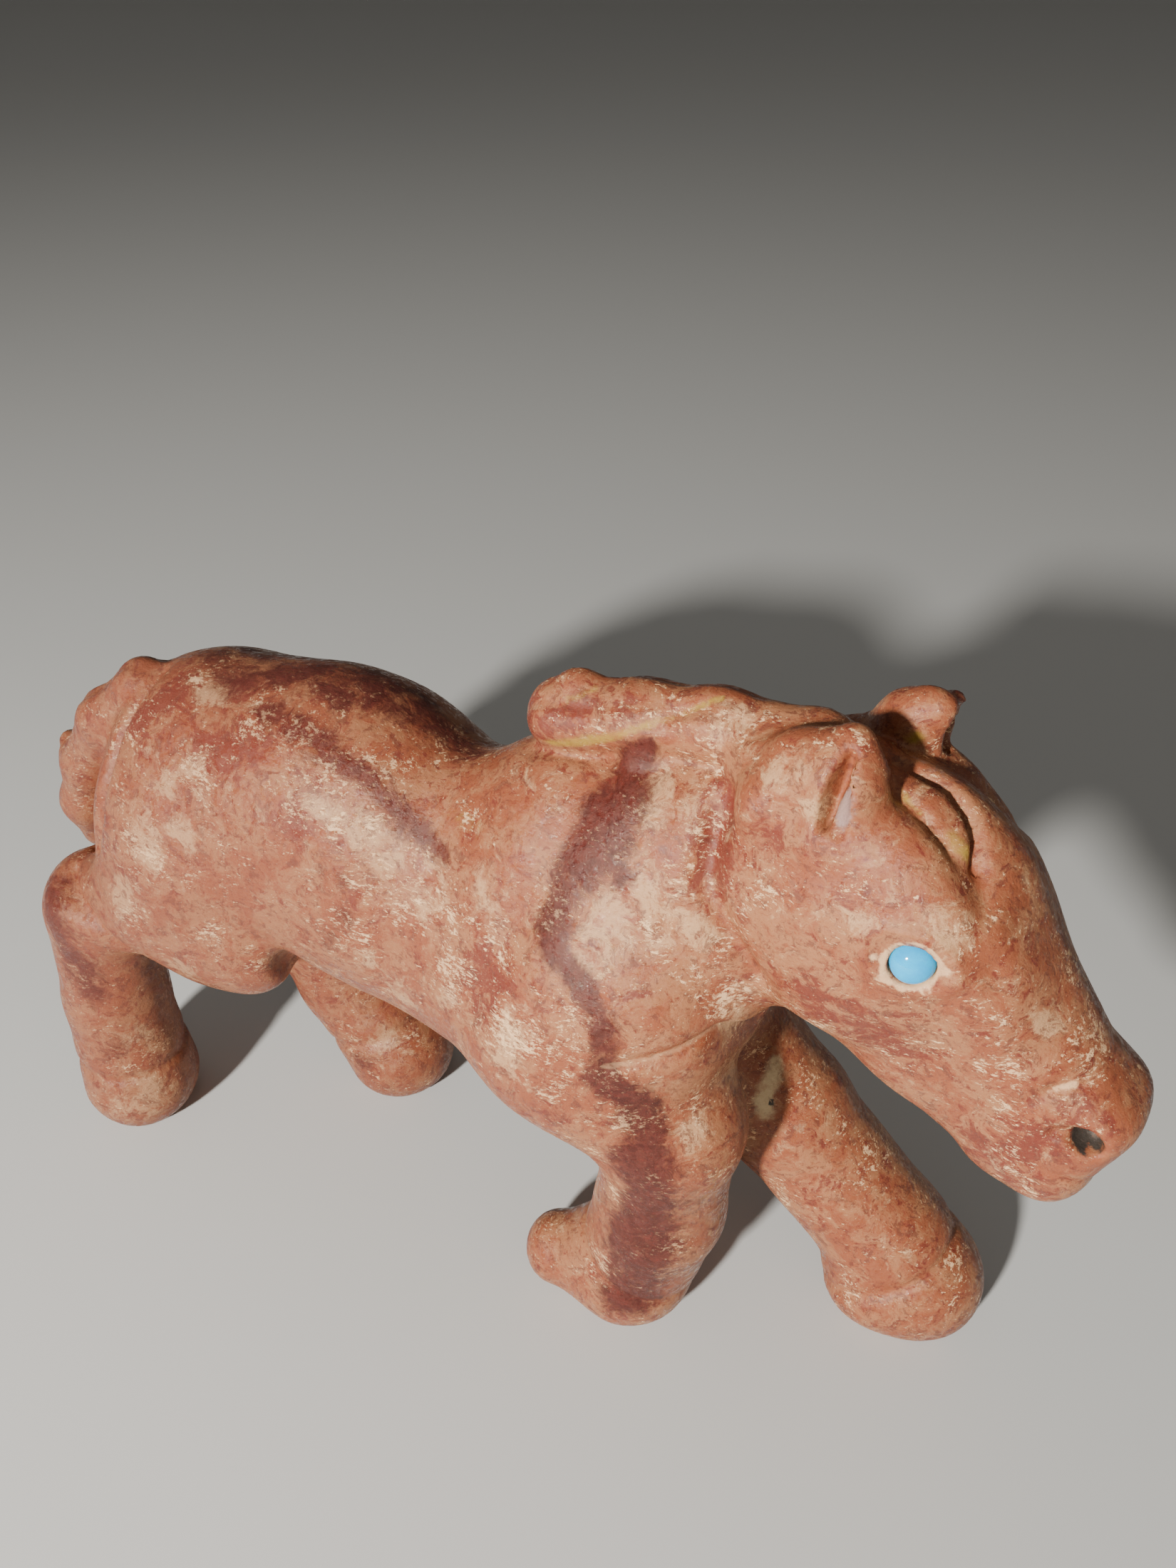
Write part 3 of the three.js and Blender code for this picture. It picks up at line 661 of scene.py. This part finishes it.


# %% Wine-red bands, and painted shade along the top of the back
paint("wine_and_back_shade", strongest([
    (1.0, [(10.1, -2.2, 42.9, 0.9), (9.2, -2.4, 41.3, 1.9), (9.0, -3.8, 40.0, 2.3), (9.0, -4.9, 38.6, 2.4),
           (8.2, -5.8, 37.2, 2.0), (7.5, -6.7, 35.4, 1.7), (7.4, -7.6, 34.0, 1.5), (7.8, -8.2, 33.0, 1.2)]),
    (0.9, [(9.3, -4.9, 38.6, 1.5), (10.5, -5.6, 37.3, 1.1)]),
    (0.9, [(8.6, -8.5, 32.8, 0.9), (9.6, -8.6, 32.1, 1.2), (10.8, -8.8, 31.0, 1.3), (11.4, -9.1, 29.0, 1.1),
           (11.3, -9.3, 26.9, 1.5)]),
    (0.95, [(11.3, -9.3, 26.7, 1.5), (12.9, -8.8, 24.9, 1.7), (13.6, -8.5, 22.5, 1.9),
            (13.6, -8.9, 20.2, 2.6), (13.8, -8.5, 16.8, 3.2), (13.5, -8.2, 12.8, 3.6),
            (12.9, -8.0, 8.7, 3.4), (12.3, -7.8, 4.6, 2.6)]),
    # Along the top of the back and the croup the marks are partly the stone's wine-red and partly painted
    # shade.
    (0.75, [(-19.9, 2.3, 38.8, 1.0), (-16.2, 0.7, 39.5, 1.3), (-12.3, -0.8, 40.1, 1.8),
            (-9.4, -1.0, 40.0, 1.8), (-5.7, 0.2, 38.9, 1.6), (-3.6, 1.0, 37.8, 1.5)]),
    (0.8, [(-13.5, -3.5, 39.1, 1.2), (-11.4, -3.8, 39.1, 1.6), (-9.3, -4.1, 38.7, 1.9),
           (-7.4, -4.4, 38.0, 1.6), (-5.7, -4.2, 37.4, 1.5), (-3.2, -4.7, 35.6, 1.5),
           (-0.6, -5.4, 34.4, 1.0)]),
    (0.6, [(-6.6, -7.3, 32.2, 1.5)]),
    # Painted shade: this wide mark darkens the whole top of the back.
    (0.75, [(-21, 0.5, 38.6, 1.8), (-17, -1.5, 39.5, 2.2), (-12, 0.5, 40.2, 2.6), (-6, 1.5, 39.2, 2.4),
            (-2, 0.5, 37.6, 2.0)]),
    (0.6, [(-6.2, -7.6, 29.7, 1.4), (-7.6, -7.7, 27.0, 1.2)]),
    (0.8, [(-31.0, -7.7, 22.5, 1.8), (-29.6, -9.3, 20.2, 1.9), (-29.3, -9.1, 16.5, 2.1),
           (-28.8, -8.8, 14.4, 1.9)]),
    (0.6, [(-26.7, -5.6, 15.0, 1.6)]),
    (0.6, [(-28.3, -9.0, 9.0, 1.7)]),
    (0.65, [(-14.5, 1.5, 4.5, 1.7)]),
    (0.7, [(10, 7, 41, 1.8), (7, 8, 36, 2.0), (5, 8.6, 30, 2.2), (9, 9.6, 24, 2.0)]),
    (0.6, [(-16, 9, 30, 2.6), (-18, 9.5, 24, 2.2), (-18, 8.5, 12, 1.8)]),
    (0.6, [(24, 8.2, 7.5, 1.8)]),
    (0.5, [(-32.5, -1.8, 32, 1.2), (-34.8, -1.4, 27, 1.2)]),
]))

# %% Brick-red patches
paint("brick", strongest([
    (1.0, [(-20.4, -3.3, 38.2, 1.7), (-22.4, -4.8, 36.7, 1.3)]),
    (1.0, [(-13.8, -5.0, 37.8, 1.7), (-16.5, -5.3, 37.0, 1.5)]),
    (0.9, [(-9.5, -6.9, 35.2, 1.4)]),
    (0.9, [(-16.3, -2.6, 39.0, 1.2)]),
    (0.9, [(14.7, -3.4, 41.4, 1.6), (15.4, -4.2, 38.6, 1.8)]),
    (0.8, [(4.0, -9.0, 31.5, 1.7), (3.8, -8.5, 29.0, 1.5)]),
    (0.7, [(1.8, -8.0, 35.0, 1.3)]),
    (0.8, [(18.0, -4.6, 42.2, 1.2)]),
    (0.7, [(21.0, -7.0, 34.5, 1.8), (25.0, -6.2, 32.0, 1.6)]),
    (0.7, [(33.6, -4.6, 31.0, 1.2), (31.0, -5.4, 26.5, 1.7)]),
    (0.6, [(-23.0, -9.5, 29.5, 1.6)]),
    (0.7, [(3.6, -1.8, 42.0, 1.1), (8.6, -1.3, 44.4, 0.9)]),
    (0.7, [(12, 7.5, 33, 2.2), (22, 5.5, 36, 2.0)]),
]))

# %% Milky clouds and frost
paint("milk", strongest([(0.9, [spot]) for spot in (
    (11.0, -2.9, 41.1, 1.3), (12.3, -2.2, 42.2, 1.1), (13.0, -3.2, 41.1, 1.3), (11.2, -3.9, 40.2, 1.2),
    (11.9, -5.7, 37.0, 2.0), (10.3, -6.4, 35.7, 1.4), (13.1, -5.7, 36.6, 1.2), (10.1, -7.5, 33.9, 1.7),
    (17.5, -4.4, 44.7, 1.2), (15.6, -7.0, 22.3, 1.5), (16.2, -2.6, 23.2, 1.9), (16.0, -4.0, 28.0, 1.6),
    (6.3, -7.1, 34.7, 0.8), (5.9, -9.7, 27.9, 1.5), (14.6, -5.7, 35.1, 1.6), (-17.7, -2.6, 38.8, 1.3),
    (-16.7, -6.5, 35.4, 1.3), (-19.9, -8.2, 31.8, 1.6), (-18.8, -7.2, 34.2, 1.3), (-17.5, -8.0, 32.0, 1.4),
    (-19.6, -8.8, 30.1, 1.3), (-7.8, -6.2, 36.0, 1.3), (-5.3, -5.9, 35.2, 1.5), (-3.9, -6.0, 33.8, 1.5),
    (-1.1, -5.7, 33.6, 1.2), (-1.2, -6.6, 31.9, 1.3), (-21.6, -9.2, 26.6, 1.5), (-26.6, -8.3, 4.6, 1.9),
    (-28.5, -9.8, 3.9, 1.5), (-27.1, -7.4, 9.5, 1.3), (-19.5, -8.4, 20.4, 1.4), (-22.5, -9.3, 25.4, 1.3),
    (1.5, -8.4, 27.0, 1.3), (-3.3, -7.1, 24.3, 1.8), (3.0, -6.9, 33.5, 0.9), (-13.0, 2.6, 6.5, 1.4),
    (5.6, -10.0, 26.3, 1.4), (-5.2, -7.5, 26.7, 1.4), (19.7, -5.0, 44.3, 0.9), (26.4, -5.8, 40.4, 1.2),
    (22.4, -6.6, 40.0, 1.0), (31.1, -3.9, 35.1, 1.1), (28.7, -1.5, 40.8, 0.9), (14.2, -1.0, 44.8, 1.0),
    (-8, 7, 30, 3.5), (20, 7, 38, 2.2), (4, 9, 36, 2.4), (18, 8.5, 13, 2.2), (-26, 4, 30, 2.4),
)]))
paint("frost", strongest([(1.0, [spot]) for spot in (
    (17.8, -5.9, 39.4, 1.5), (9.4, -9.5, 29.3, 1.4), (5.6, -9.6, 28.2, 2.2), (7.8, -7.4, 34.3, 1.0),
    (16.2, -5.3, 30.5, 1.9), (13.1, -3.8, 40.5, 1.0), (-13.5, -4.1, 38.6, 1.1), (-11.0, -4.4, 38.6, 1.1),
    (-16.7, -6.5, 35.4, 1.5), (-20.0, -8.2, 31.0, 2.6), (-8.0, -6.2, 36.0, 2.2), (-3.9, -6.0, 34.2, 2.8),
    (-0.9, -6.6, 31.8, 2.2), (-19.5, -1.7, 39.0, 1.3), (-1.2, -0.5, 37.8, 1.2), (1.5, -8.0, 29.0, 2.4),
    (-6.6, -7.6, 29.7, 2.2), (10.6, -9.0, 34.0, 1.2), (12.5, -8.4, 23.5, 1.4), (30.0, -5.2, 33.0, 1.4),
)]))

# %% Polish in one cut, and painted shade in the crease beside the tail
def in_cut(points, toward, width, depth, reach=6.0):
    amount, _, _ = groove(points, toward, width, depth, reach)
    return amount(knots[:, 0], knots[:, 1], knots[:, 2])


paint("residue", in_cut(elbow, RIGHT, 0.22, 1.0))
# Painted shade: the crease beside the tail is darkened where shade falls in it.
paint("tail_crease_shade", in_cut(beside_tail, BUTTOCK, 0.3, [0.6, 1.0, 1.0, 1.0, 1.0, 0.4], 2.4))

# %% Cream cement around the eyes, and a painted highlight on the muzzle
RIM_AT, RIM_WIDTH, CORNER_SIZE = 1.12, 0.17, 0.28
# A painted highlight: a cream line along the groove above the right nostril.
eye_cement_and_muzzle_highlight = strongest([(0.9, [(31.6, -4.7, 31.6, 0.3), (33.0, -4.2, 32.3, 0.3)])])
for side in (-1, 1):
    away = knots - eye_at(side)
    along, up = away[:, 0], away[:, 2] - 0.1 * away[:, 0]
    size = np.hypot(along / EYE_RADII[0], up / EYE_RADII[2])
    rim = 0.85 * np.exp(-(((size - RIM_AT) / RIM_WIDTH) ** 2))
    for x, z in ((-1.6, 0.2), (-1.25, -0.85), (1.6, 0.0), (0.9, -1.3)):
        rim = np.maximum(rim, 0.8 * np.exp(-((along - x) ** 2 + (up - z) ** 2) / CORNER_SIZE**2))
    eye_cement_and_muzzle_highlight = np.maximum(eye_cement_and_muzzle_highlight, rim * (np.abs(away[:, 1]) < 2.5))
paint("eye_cement_and_muzzle_highlight", eye_cement_and_muzzle_highlight)

# %% Ochre, lime, ash, and painted shade in the nostrils and a small pit
paint("ochre", strongest([
    (1.0, [(3.4, -2.2, 40.7, 0.6), (6.9, -2.1, 42.3, 0.6), (9.3, -2.2, 43.7, 0.4), (11.4, -1.4, 44.8, 0.35),
           (13.2, -0.5, 45.7, 0.3)]),
    (0.8, [(5.3, -1.5, 43.9, 0.5), (6.6, -0.8, 44.6, 0.4)]),
    (0.7, [(6.7, -3.3, 40.1, 0.8)]),
    (1.0, [(25.3, -2.9, 42.9, 0.75), (26.1, -3.0, 42.3, 0.6)]),
    (1.0, [(22.2, -1.7, 44.5, 0.2), (23.0, -2.5, 44.1, 0.3), (23.6, -2.8, 43.8, 0.25)]),
    (1.0, [(19.7, 3.4, 44.0, 0.4), (21.1, 2.0, 44.6, 0.5), (22.3, 1.5, 44.9, 0.6)]),
    (0.8, [(23.1, 2.7, 46.6, 0.4)]),
    (0.8, [(20.9, -4.5, 45.6, 0.2)]),
    (0.6, [(16.8, -6.6, 17.1, 1.4), (17.2, -6.6, 19.7, 1.1)]),
    (0.5, [(13.4, -8.3, 27.2, 1.2), (14.8, -7.5, 26.6, 1.2)]),
    (0.6, [(-0.7, -3.7, 36.3, 1.5), (1.4, -4.6, 36.6, 1.2)]),
    (0.5, [(-3.9, -2.8, 37.3, 1.0)]),
    (0.5, [(-16.9, -1.2, 39.3, 1.1)]),
    (0.5, [(28.2, -2.7, 40.9, 0.5)]),
    (0.5, [(-25, -1.5, 37.8, 1.1), (-30, -1.8, 34.5, 1.2)]),
]))
paint("lime", strongest([
    (1.0, [(17.5, 2.2, 19.4, 1.0), (17.2, 0.9, 17.4, 1.1), (17.6, 0.8, 16.5, 0.8)]),
    (0.7, [(19.6, 1.3, 15.8, 0.9)]),
]))
# Painted shade: near black in both nostril holes, and in a small pit in the lime patch.
paint("pit_shade", strongest([(1.0, [spot]) for spot in (
    (17.7, 1.1, 17.3, 0.3), (34.3, -4.6, 29.7, 0.95), (34.3, 0.6, 29.7, 0.95),
)]))
paint("ash", strongest([
    (1.0, [(20.9, -4.9, 45.2, 0.5), (21.0, -4.7, 44.0, 0.75)]),
    (0.9, [(21.3, 2.0, 43.9, 0.7)]),
    (0.6, [(22.6, 0.3, 44.2, 0.6), (24.5, -0.2, 43.8, 0.6)]),
]))

# %% [markdown]
# ## Polished stone
#
# The colour is built in layers, each over the one before: the salmon ground, brick-red patches, milky
# clouds, the wine-red bands with painted shade along the top of the back, a dusting of cream grains, a
# darker tone toward the rump, and last what has dried in the cuts, with painted shade in the tail
# crease and the nostrils and a painted highlight on the muzzle. All patterns are three-dimensional
# noise in the object's own space, so they run through the stone and meet at every edge. A little light
# travels under the surface, which is why alabaster looks soft. The polish is worn dull in patches, so
# its highlights break up.

# %% A helper for node trees
class Nodes:
    def __init__(self, name):
        self.material = bpy.data.materials.new(name)
        self.material.use_nodes = True
        self.tree = self.material.node_tree
        self.shader = self.tree.nodes["Principled BSDF"]

    def make(self, kind, inputs=(), **settings):
        made = self.tree.nodes.new(kind)
        for key, value in settings.items():
            setattr(made, key, value)
        for key, value in dict(inputs).items():
            if isinstance(value, bpy.types.NodeSocket):
                self.tree.links.new(value, made.inputs[key])
            else:
                made.inputs[key].default_value = value
        return made

    def calc(self, kind, *values):
        return self.make("ShaderNodeMath", dict(enumerate(values)), operation=kind).outputs[0]

    def plus(self, a, b):
        return self.calc("ADD", a, b)

    def times(self, a, b):
        return self.calc("MULTIPLY", a, b)

    def vector(self, kind, *values):
        spread = [(value,) * 3 if isinstance(value, float) else value for value in values]
        return self.make("ShaderNodeVectorMath", dict(enumerate(spread)), operation=kind).outputs[0]

    def stretched(self, place, turn, scale):
        return self.make("ShaderNodeMapping", {"Vector": place, "Rotation": turn, "Scale": scale}).outputs[0]

    def painted(self, name):
        return self.make("ShaderNodeAttribute", attribute_name=name).outputs["Fac"]

    def grain(self, place, scale, detail=4.0, roughness=0.6, distortion=0.0):
        return self.make("ShaderNodeTexNoise", {
            "Vector": place, "Scale": scale, "Detail": detail, "Roughness": roughness,
            "Distortion": distortion,
        }).outputs["Fac"]

    def between(self, value, low, high):
        """0 below low, 1 above high, and a soft step between."""
        return self.make("ShaderNodeMapRange", {
            "Value": value, "From Min": low, "From Max": high, "To Min": 0.0, "To Max": 1.0,
        }, interpolation_type="SMOOTHSTEP").outputs["Result"]

    def mix(self, share, a, b):
        made = self.make("ShaderNodeMix", data_type="RGBA")
        for socket, value in zip((made.inputs[0], made.inputs[6], made.inputs[7]), (share, a, b)):
            if isinstance(value, bpy.types.NodeSocket):
                self.tree.links.new(value, socket)
            else:
                socket.default_value = value if not isinstance(value, tuple) else (*value, 1.0)
        return made.outputs[2]

    def over(self, ground, mask, strength, colour):
        """Lays a colour over the ground where the mask shows, up to a strength."""
        return self.mix(self.times(mask, strength), ground, colour)

    def bump(self, height, strength, distance):
        made = self.make("ShaderNodeBump", {"Height": height, "Strength": strength, "Distance": distance})
        self.tree.links.new(made.outputs["Normal"], self.shader.inputs["Normal"])

    def surface(self, **values):
        """Sets the shader's own sockets, or links them where a pattern is given."""
        for name, value in values.items():
            socket = self.shader.inputs[name.replace("_", " ")]
            if isinstance(value, bpy.types.NodeSocket):
                self.tree.links.new(value, socket)
            else:
                socket.default_value = value


# %% Stone: places and patterns
stone = Nodes("polished_pink_stone")
object_place = stone.make("ShaderNodeTexCoord").outputs["Object"]
mm = stone.vector("MULTIPLY", object_place, 1000.0)
wander = stone.make("ShaderNodeTexNoise", {"Vector": mm, "Scale": 0.5, "Detail": 5.0}).outputs["Color"]
swing = stone.vector("SUBTRACT", wander, 0.5)
ragged = stone.vector("MULTIPLY_ADD", swing, 3.0, mm)
drift = stone.vector("MULTIPLY_ADD", swing, 0.7, mm)
flakes = stone.stretched(drift, (0.2, 0.3, 0.1), (0.75, 1.0, 1.7))

# %% Colours of the stone
SALMON = (0.26, 0.076, 0.034)
PEACH = (0.33, 0.137, 0.063)
BRICK = (0.15, 0.026, 0.018)
MILK = (0.50, 0.29, 0.148)
WINE = (0.050, 0.008, 0.007)
PLUM = (0.085, 0.017, 0.013)
CREAM = (0.82, 0.52, 0.28)
OCHRE = (0.34, 0.225, 0.035)
LIME = (0.62, 0.48, 0.27)
ASH = (0.30, 0.20, 0.175)
UMBER = (0.11, 0.031, 0.022)
# near black, for painted shade in the nostrils and a small pit
PIT_SHADE = (0.03, 0.028, 0.024)

# %% Stone: ground and clouds
ground = stone.mix(stone.between(stone.grain(ragged, 0.45, 10.0, 0.72), 0.43, 0.57), SALMON, PEACH)
reds = stone.plus(stone.grain(ragged, 0.8, 10.0, 0.75), stone.times(stone.painted("brick"), 0.20))
ground = stone.over(ground, stone.between(reds, 0.53, 0.63), 0.85, BRICK)
cloud = stone.plus(stone.grain(ragged, 0.55, 10.0, 0.76), stone.times(stone.painted("milk"), 0.20))
ground = stone.over(ground, stone.between(cloud, 0.56, 0.70), 0.85, MILK)
specks = stone.between(stone.grain(ragged, 1.4, 9.0, 0.76, 0.3), 0.53, 0.59)
ground = stone.over(ground, specks, 0.65, UMBER)

# %% Stone: wine-red bands, with painted shade along the top of the back
edge = stone.times(stone.grain(ragged, 0.55, 10.0, 0.76, 0.3), 1.9)
wine_band_and_shade = stone.between(stone.plus(edge, stone.painted("wine_and_back_shade")), 1.32, 1.78)
depth = stone.between(stone.grain(ragged, 1.5, 8.0, 0.75), 0.42, 0.58)
ground = stone.over(ground, wine_band_and_shade, 0.96, stone.mix(depth, WINE, PLUM))

# %% Stone: cream flecks and embers
patchy = stone.times(stone.grain(mm, 0.35, 5.0, 0.6), 0.40)
frost = stone.plus(patchy, stone.times(stone.painted("frost"), 0.06))
large = stone.between(stone.plus(stone.grain(flakes, 1.6, 10.0, 0.76), frost), 0.81, 0.85)
small = stone.between(stone.plus(stone.grain(flakes, 3.8, 8.0, 0.76), frost), 0.80, 0.84)
grains = stone.calc("MAXIMUM", stone.times(large, 0.85), stone.times(small, 0.7))
grains = stone.times(grains, stone.calc("SUBTRACT", 1.0, stone.times(wine_band_and_shade, 0.6)))
ground = stone.mix(grains, ground, CREAM)
embers = stone.between(stone.grain(ragged, 3.2, 8.0, 0.74), 0.54, 0.64)
ground = stone.over(ground, embers, 0.55, BRICK)

# %% Stone: darker toward the rump
along = stone.make("ShaderNodeSeparateXYZ", {0: mm}).outputs["X"]
rear = stone.calc("SUBTRACT", 1.0, stone.between(along, -30.0, 22.0))
ground = stone.over(ground, rear, 0.38, UMBER)

# %% Stone: residue in the cuts, painted shade in the tail crease and nostrils, and a painted highlight on the muzzle
rough_edge = stone.times(stone.grain(mm, 1.8, 9.0, 0.75), 1.1)
for name, colour, share, low, high in (
    ("residue", CREAM, 0.22, 0.80, 1.40),
    # painted shade in the crease beside the tail
    ("tail_crease_shade", UMBER, 0.75, 0.80, 1.50),
    # cream cement round the eyes, and the painted highlight on the muzzle
    ("eye_cement_and_muzzle_highlight", CREAM, 0.65, 0.85, 1.20),
    ("ash", ASH, 0.85, 0.90, 1.20),
    ("ochre", OCHRE, 0.80, 1.05, 1.65),
    ("lime", LIME, 0.90, 1.05, 1.60),
    # painted shade in the nostrils and the small pit
    ("pit_shade", PIT_SHADE, 0.97, 0.95, 1.15),
):
    there = stone.between(stone.plus(stone.painted(name), rough_edge), low, high)
    ground = stone.over(ground, there, share, colour)

# %% Stone: polish
dull = stone.between(stone.grain(drift, 2.2, 8.0, 0.76), 0.42, 0.52)
scratches = stone.grain(stone.stretched(mm, (0.2, 0.9, 0.3), (0.5, 6.0, 6.0)), 1.0, 3.0)
relief = stone.plus(stone.grain(mm, 1.0, 9.0, 0.68), stone.times(scratches, 0.15))
stone.bump(stone.calc("SUBTRACT", relief, stone.times(grains, 0.08)), 0.7, 0.00016)
stone.surface(
    Base_Color=ground, Roughness=stone.calc("MULTIPLY_ADD", dull, 0.40, 0.06), IOR=1.53,
    Specular_IOR_Level=0.3, Specular_Tint=(1.0, 0.88, 0.76, 1.0),
    Subsurface_Weight=0.05, Subsurface_Radius=(1.0, 0.4, 0.25), Subsurface_Scale=0.0009)
horse.data.materials.append(stone.material)
print("stone nodes:", len(stone.tree.nodes))

# %% [markdown]
# ## Turquoise eyes
#
# Each eye is an oval cabochon: a polished stone, sunk into its seat until only a low dome shows. It
# is made as a whole egg that fills the CAD eye's box, less a hair, so that it stays inside. The
# turquoise is an even sky blue with faint paler clouds.

# %% Set the eyes
EYE_TURN = -8
FULLNESS = 0.92
LESS_A_HAIR = 0.998


def cabochon(name, node):
    low, high = box_mm(node)
    side = 1 if node.startswith("left") else -1
    axes = turning(EYE_TILT, side * EYE_TURN, 0) @ turning(0, 0, side * EYE_LEAN)
    turns, rings = 48, 24
    made = [(0.0, 1.0, 0.0), (0.0, -1.0, 0.0)]
    for ring in range(1, rings):
        polar = math.pi * ring / rings
        for turn in range(turns):
            around = 2 * math.pi * turn / turns
            flat = math.sin(polar) ** FULLNESS
            made.append((flat * math.cos(around), math.cos(polar), flat * math.sin(around)))
    made = (np.array(made) * np.array(EYE_RADII)) @ axes.T
    made *= (high - low) / (made.max(0) - made.min(0)) * LESS_A_HAIR
    faces = []
    for turn in range(turns):
        beside = (turn + 1) % turns
        column = [(2 + ring * turns + turn, 2 + ring * turns + beside) for ring in range(rings - 1)]
        faces.append((0, column[0][1], column[0][0]))
        faces += [(a, b, d, c) for (a, b), (c, d) in zip(column, column[1:])]
        faces.append((1, column[-1][0], column[-1][1]))
    return mesh_object(name, made + (low + high) / 2, faces)


eyes = {node: cabochon(f"turquoise_{node}", node) for node in ("right_eye", "left_eye")}

# %% Turquoise finish
turquoise = Nodes("polished_turquoise")
place = turquoise.make("ShaderNodeTexCoord").outputs["Object"]
clouds = turquoise.between(turquoise.grain(place, 900.0, 5.0), 0.35, 0.65)
turquoise.bump(turquoise.grain(place, 2500.0, 4.0), 0.2, 0.00002)
turquoise.surface(
    Base_Color=turquoise.mix(clouds, (0.0, 0.32, 0.66), (0.0, 0.40, 0.74)),
    Roughness=0.1, Specular_IOR_Level=0.35)
for eye in eyes.values():
    eye.data.materials.append(turquoise.material)

# %% Tie the pieces to the frame
for piece, node, slot in (
    (horse, "horse", "stone"),
    (eyes["right_eye"], "right_eye", "turquoise"),
    (eyes["left_eye"], "left_eye", "turquoise"),
):
    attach(piece, "root")
    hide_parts(node)

# %% [markdown]
# ## Table, light and camera
#
# The figure stands on a plain pale table that bends up into a wall far behind it. One small lamp low
# on its right side gives the clear shadow and the bright spots of the polish. Two weak, larger ones
# and a dim room fill in the rest. The camera looks down on the right side from in front, close by, as
# a phone would be held.

# %% Table
LOOK_LEFT, LOOK_DOWN = math.radians(26.9), math.radians(35.0)
HALF_WIDTH, FRONT, BACK, BEND, WALL = 3.0, -1.2, 2.2, 0.5, 2.5
profile = [(FRONT, 0.0), (BACK - BEND, 0.0)]
for angle in np.linspace(0.15, math.pi / 2, 10):
    profile.append((BACK - BEND + BEND * math.sin(angle), BEND - BEND * math.cos(angle)))
profile.append((BACK, WALL))
strip = [(side * HALF_WIDTH, y, z) for y, z in profile for side in (-1, 1)]
table_mesh = bpy.data.meshes.new("table")
table_mesh.from_pydata(strip, [], [(2 * n, 2 * n + 1, 2 * n + 3, 2 * n + 2) for n in range(len(profile) - 1)])
table_mesh.shade_smooth()
table = bpy.data.objects.new("table", table_mesh)
table.rotation_euler = (0, 0, LOOK_LEFT)
bpy.context.scene.collection.objects.link(table)
pale = Nodes("pale_table")
pale.surface(Base_Color=(0.52, 0.52, 0.50, 1.0), Roughness=0.85)
table.data.materials.append(pale.material)

# %% Light
WARM_WHITE = (1.0, 0.97, 0.93)
MIDDLE = Vector((0, 0, 0.02))
scene = bpy.context.scene
world = bpy.data.worlds.new("soft_room")
world.use_nodes = True
room = world.node_tree.nodes["Background"].inputs
room["Color"].default_value = (*WARM_WHITE, 1.0)
room["Strength"].default_value = 0.17
scene.world = world


def soft_box(name, at, size, power):
    lamp = bpy.data.lights.new(name, "AREA")
    lamp.shape = "DISK"
    lamp.size = size
    lamp.energy = power
    lamp.color = WARM_WHITE
    made = bpy.data.objects.new(name, lamp)
    made.location = at
    made.rotation_euler = (MIDDLE - Vector(at)).to_track_quat("-Z", "Y").to_euler()
    scene.collection.objects.link(made)


soft_box("key_box", (-0.02, -0.25, 0.135), 0.022, 1.95)
soft_box("top_box", (-0.25, 0.10, 0.45), 0.40, 0.11)
soft_box("front_box", (0.40, -0.25, 0.25), 0.30, 0.14)

# %% Camera
PHONE_AT = np.array([30.3, -48.5, 76.0]) + shift
SENSOR = 36.0
PHOTO_HEIGHT, FOCAL_IN_PIXELS = 2200.0, 1713.0
FOCAL = FOCAL_IN_PIXELS / PHOTO_HEIGHT * SENSOR
lens = bpy.data.cameras.new("phone_view")
lens.sensor_width = SENSOR
lens.lens = FOCAL
lens.clip_start = 0.005
camera = bpy.data.objects.new("phone_view", lens)
camera.location = PHONE_AT / 1000
camera.rotation_euler = (math.pi / 2 - LOOK_DOWN, 0, LOOK_LEFT)
scene.collection.objects.link(camera)
scene.camera = camera
print("camera, mm:", PHONE_AT.round(1), "lens:", round(FOCAL, 2))
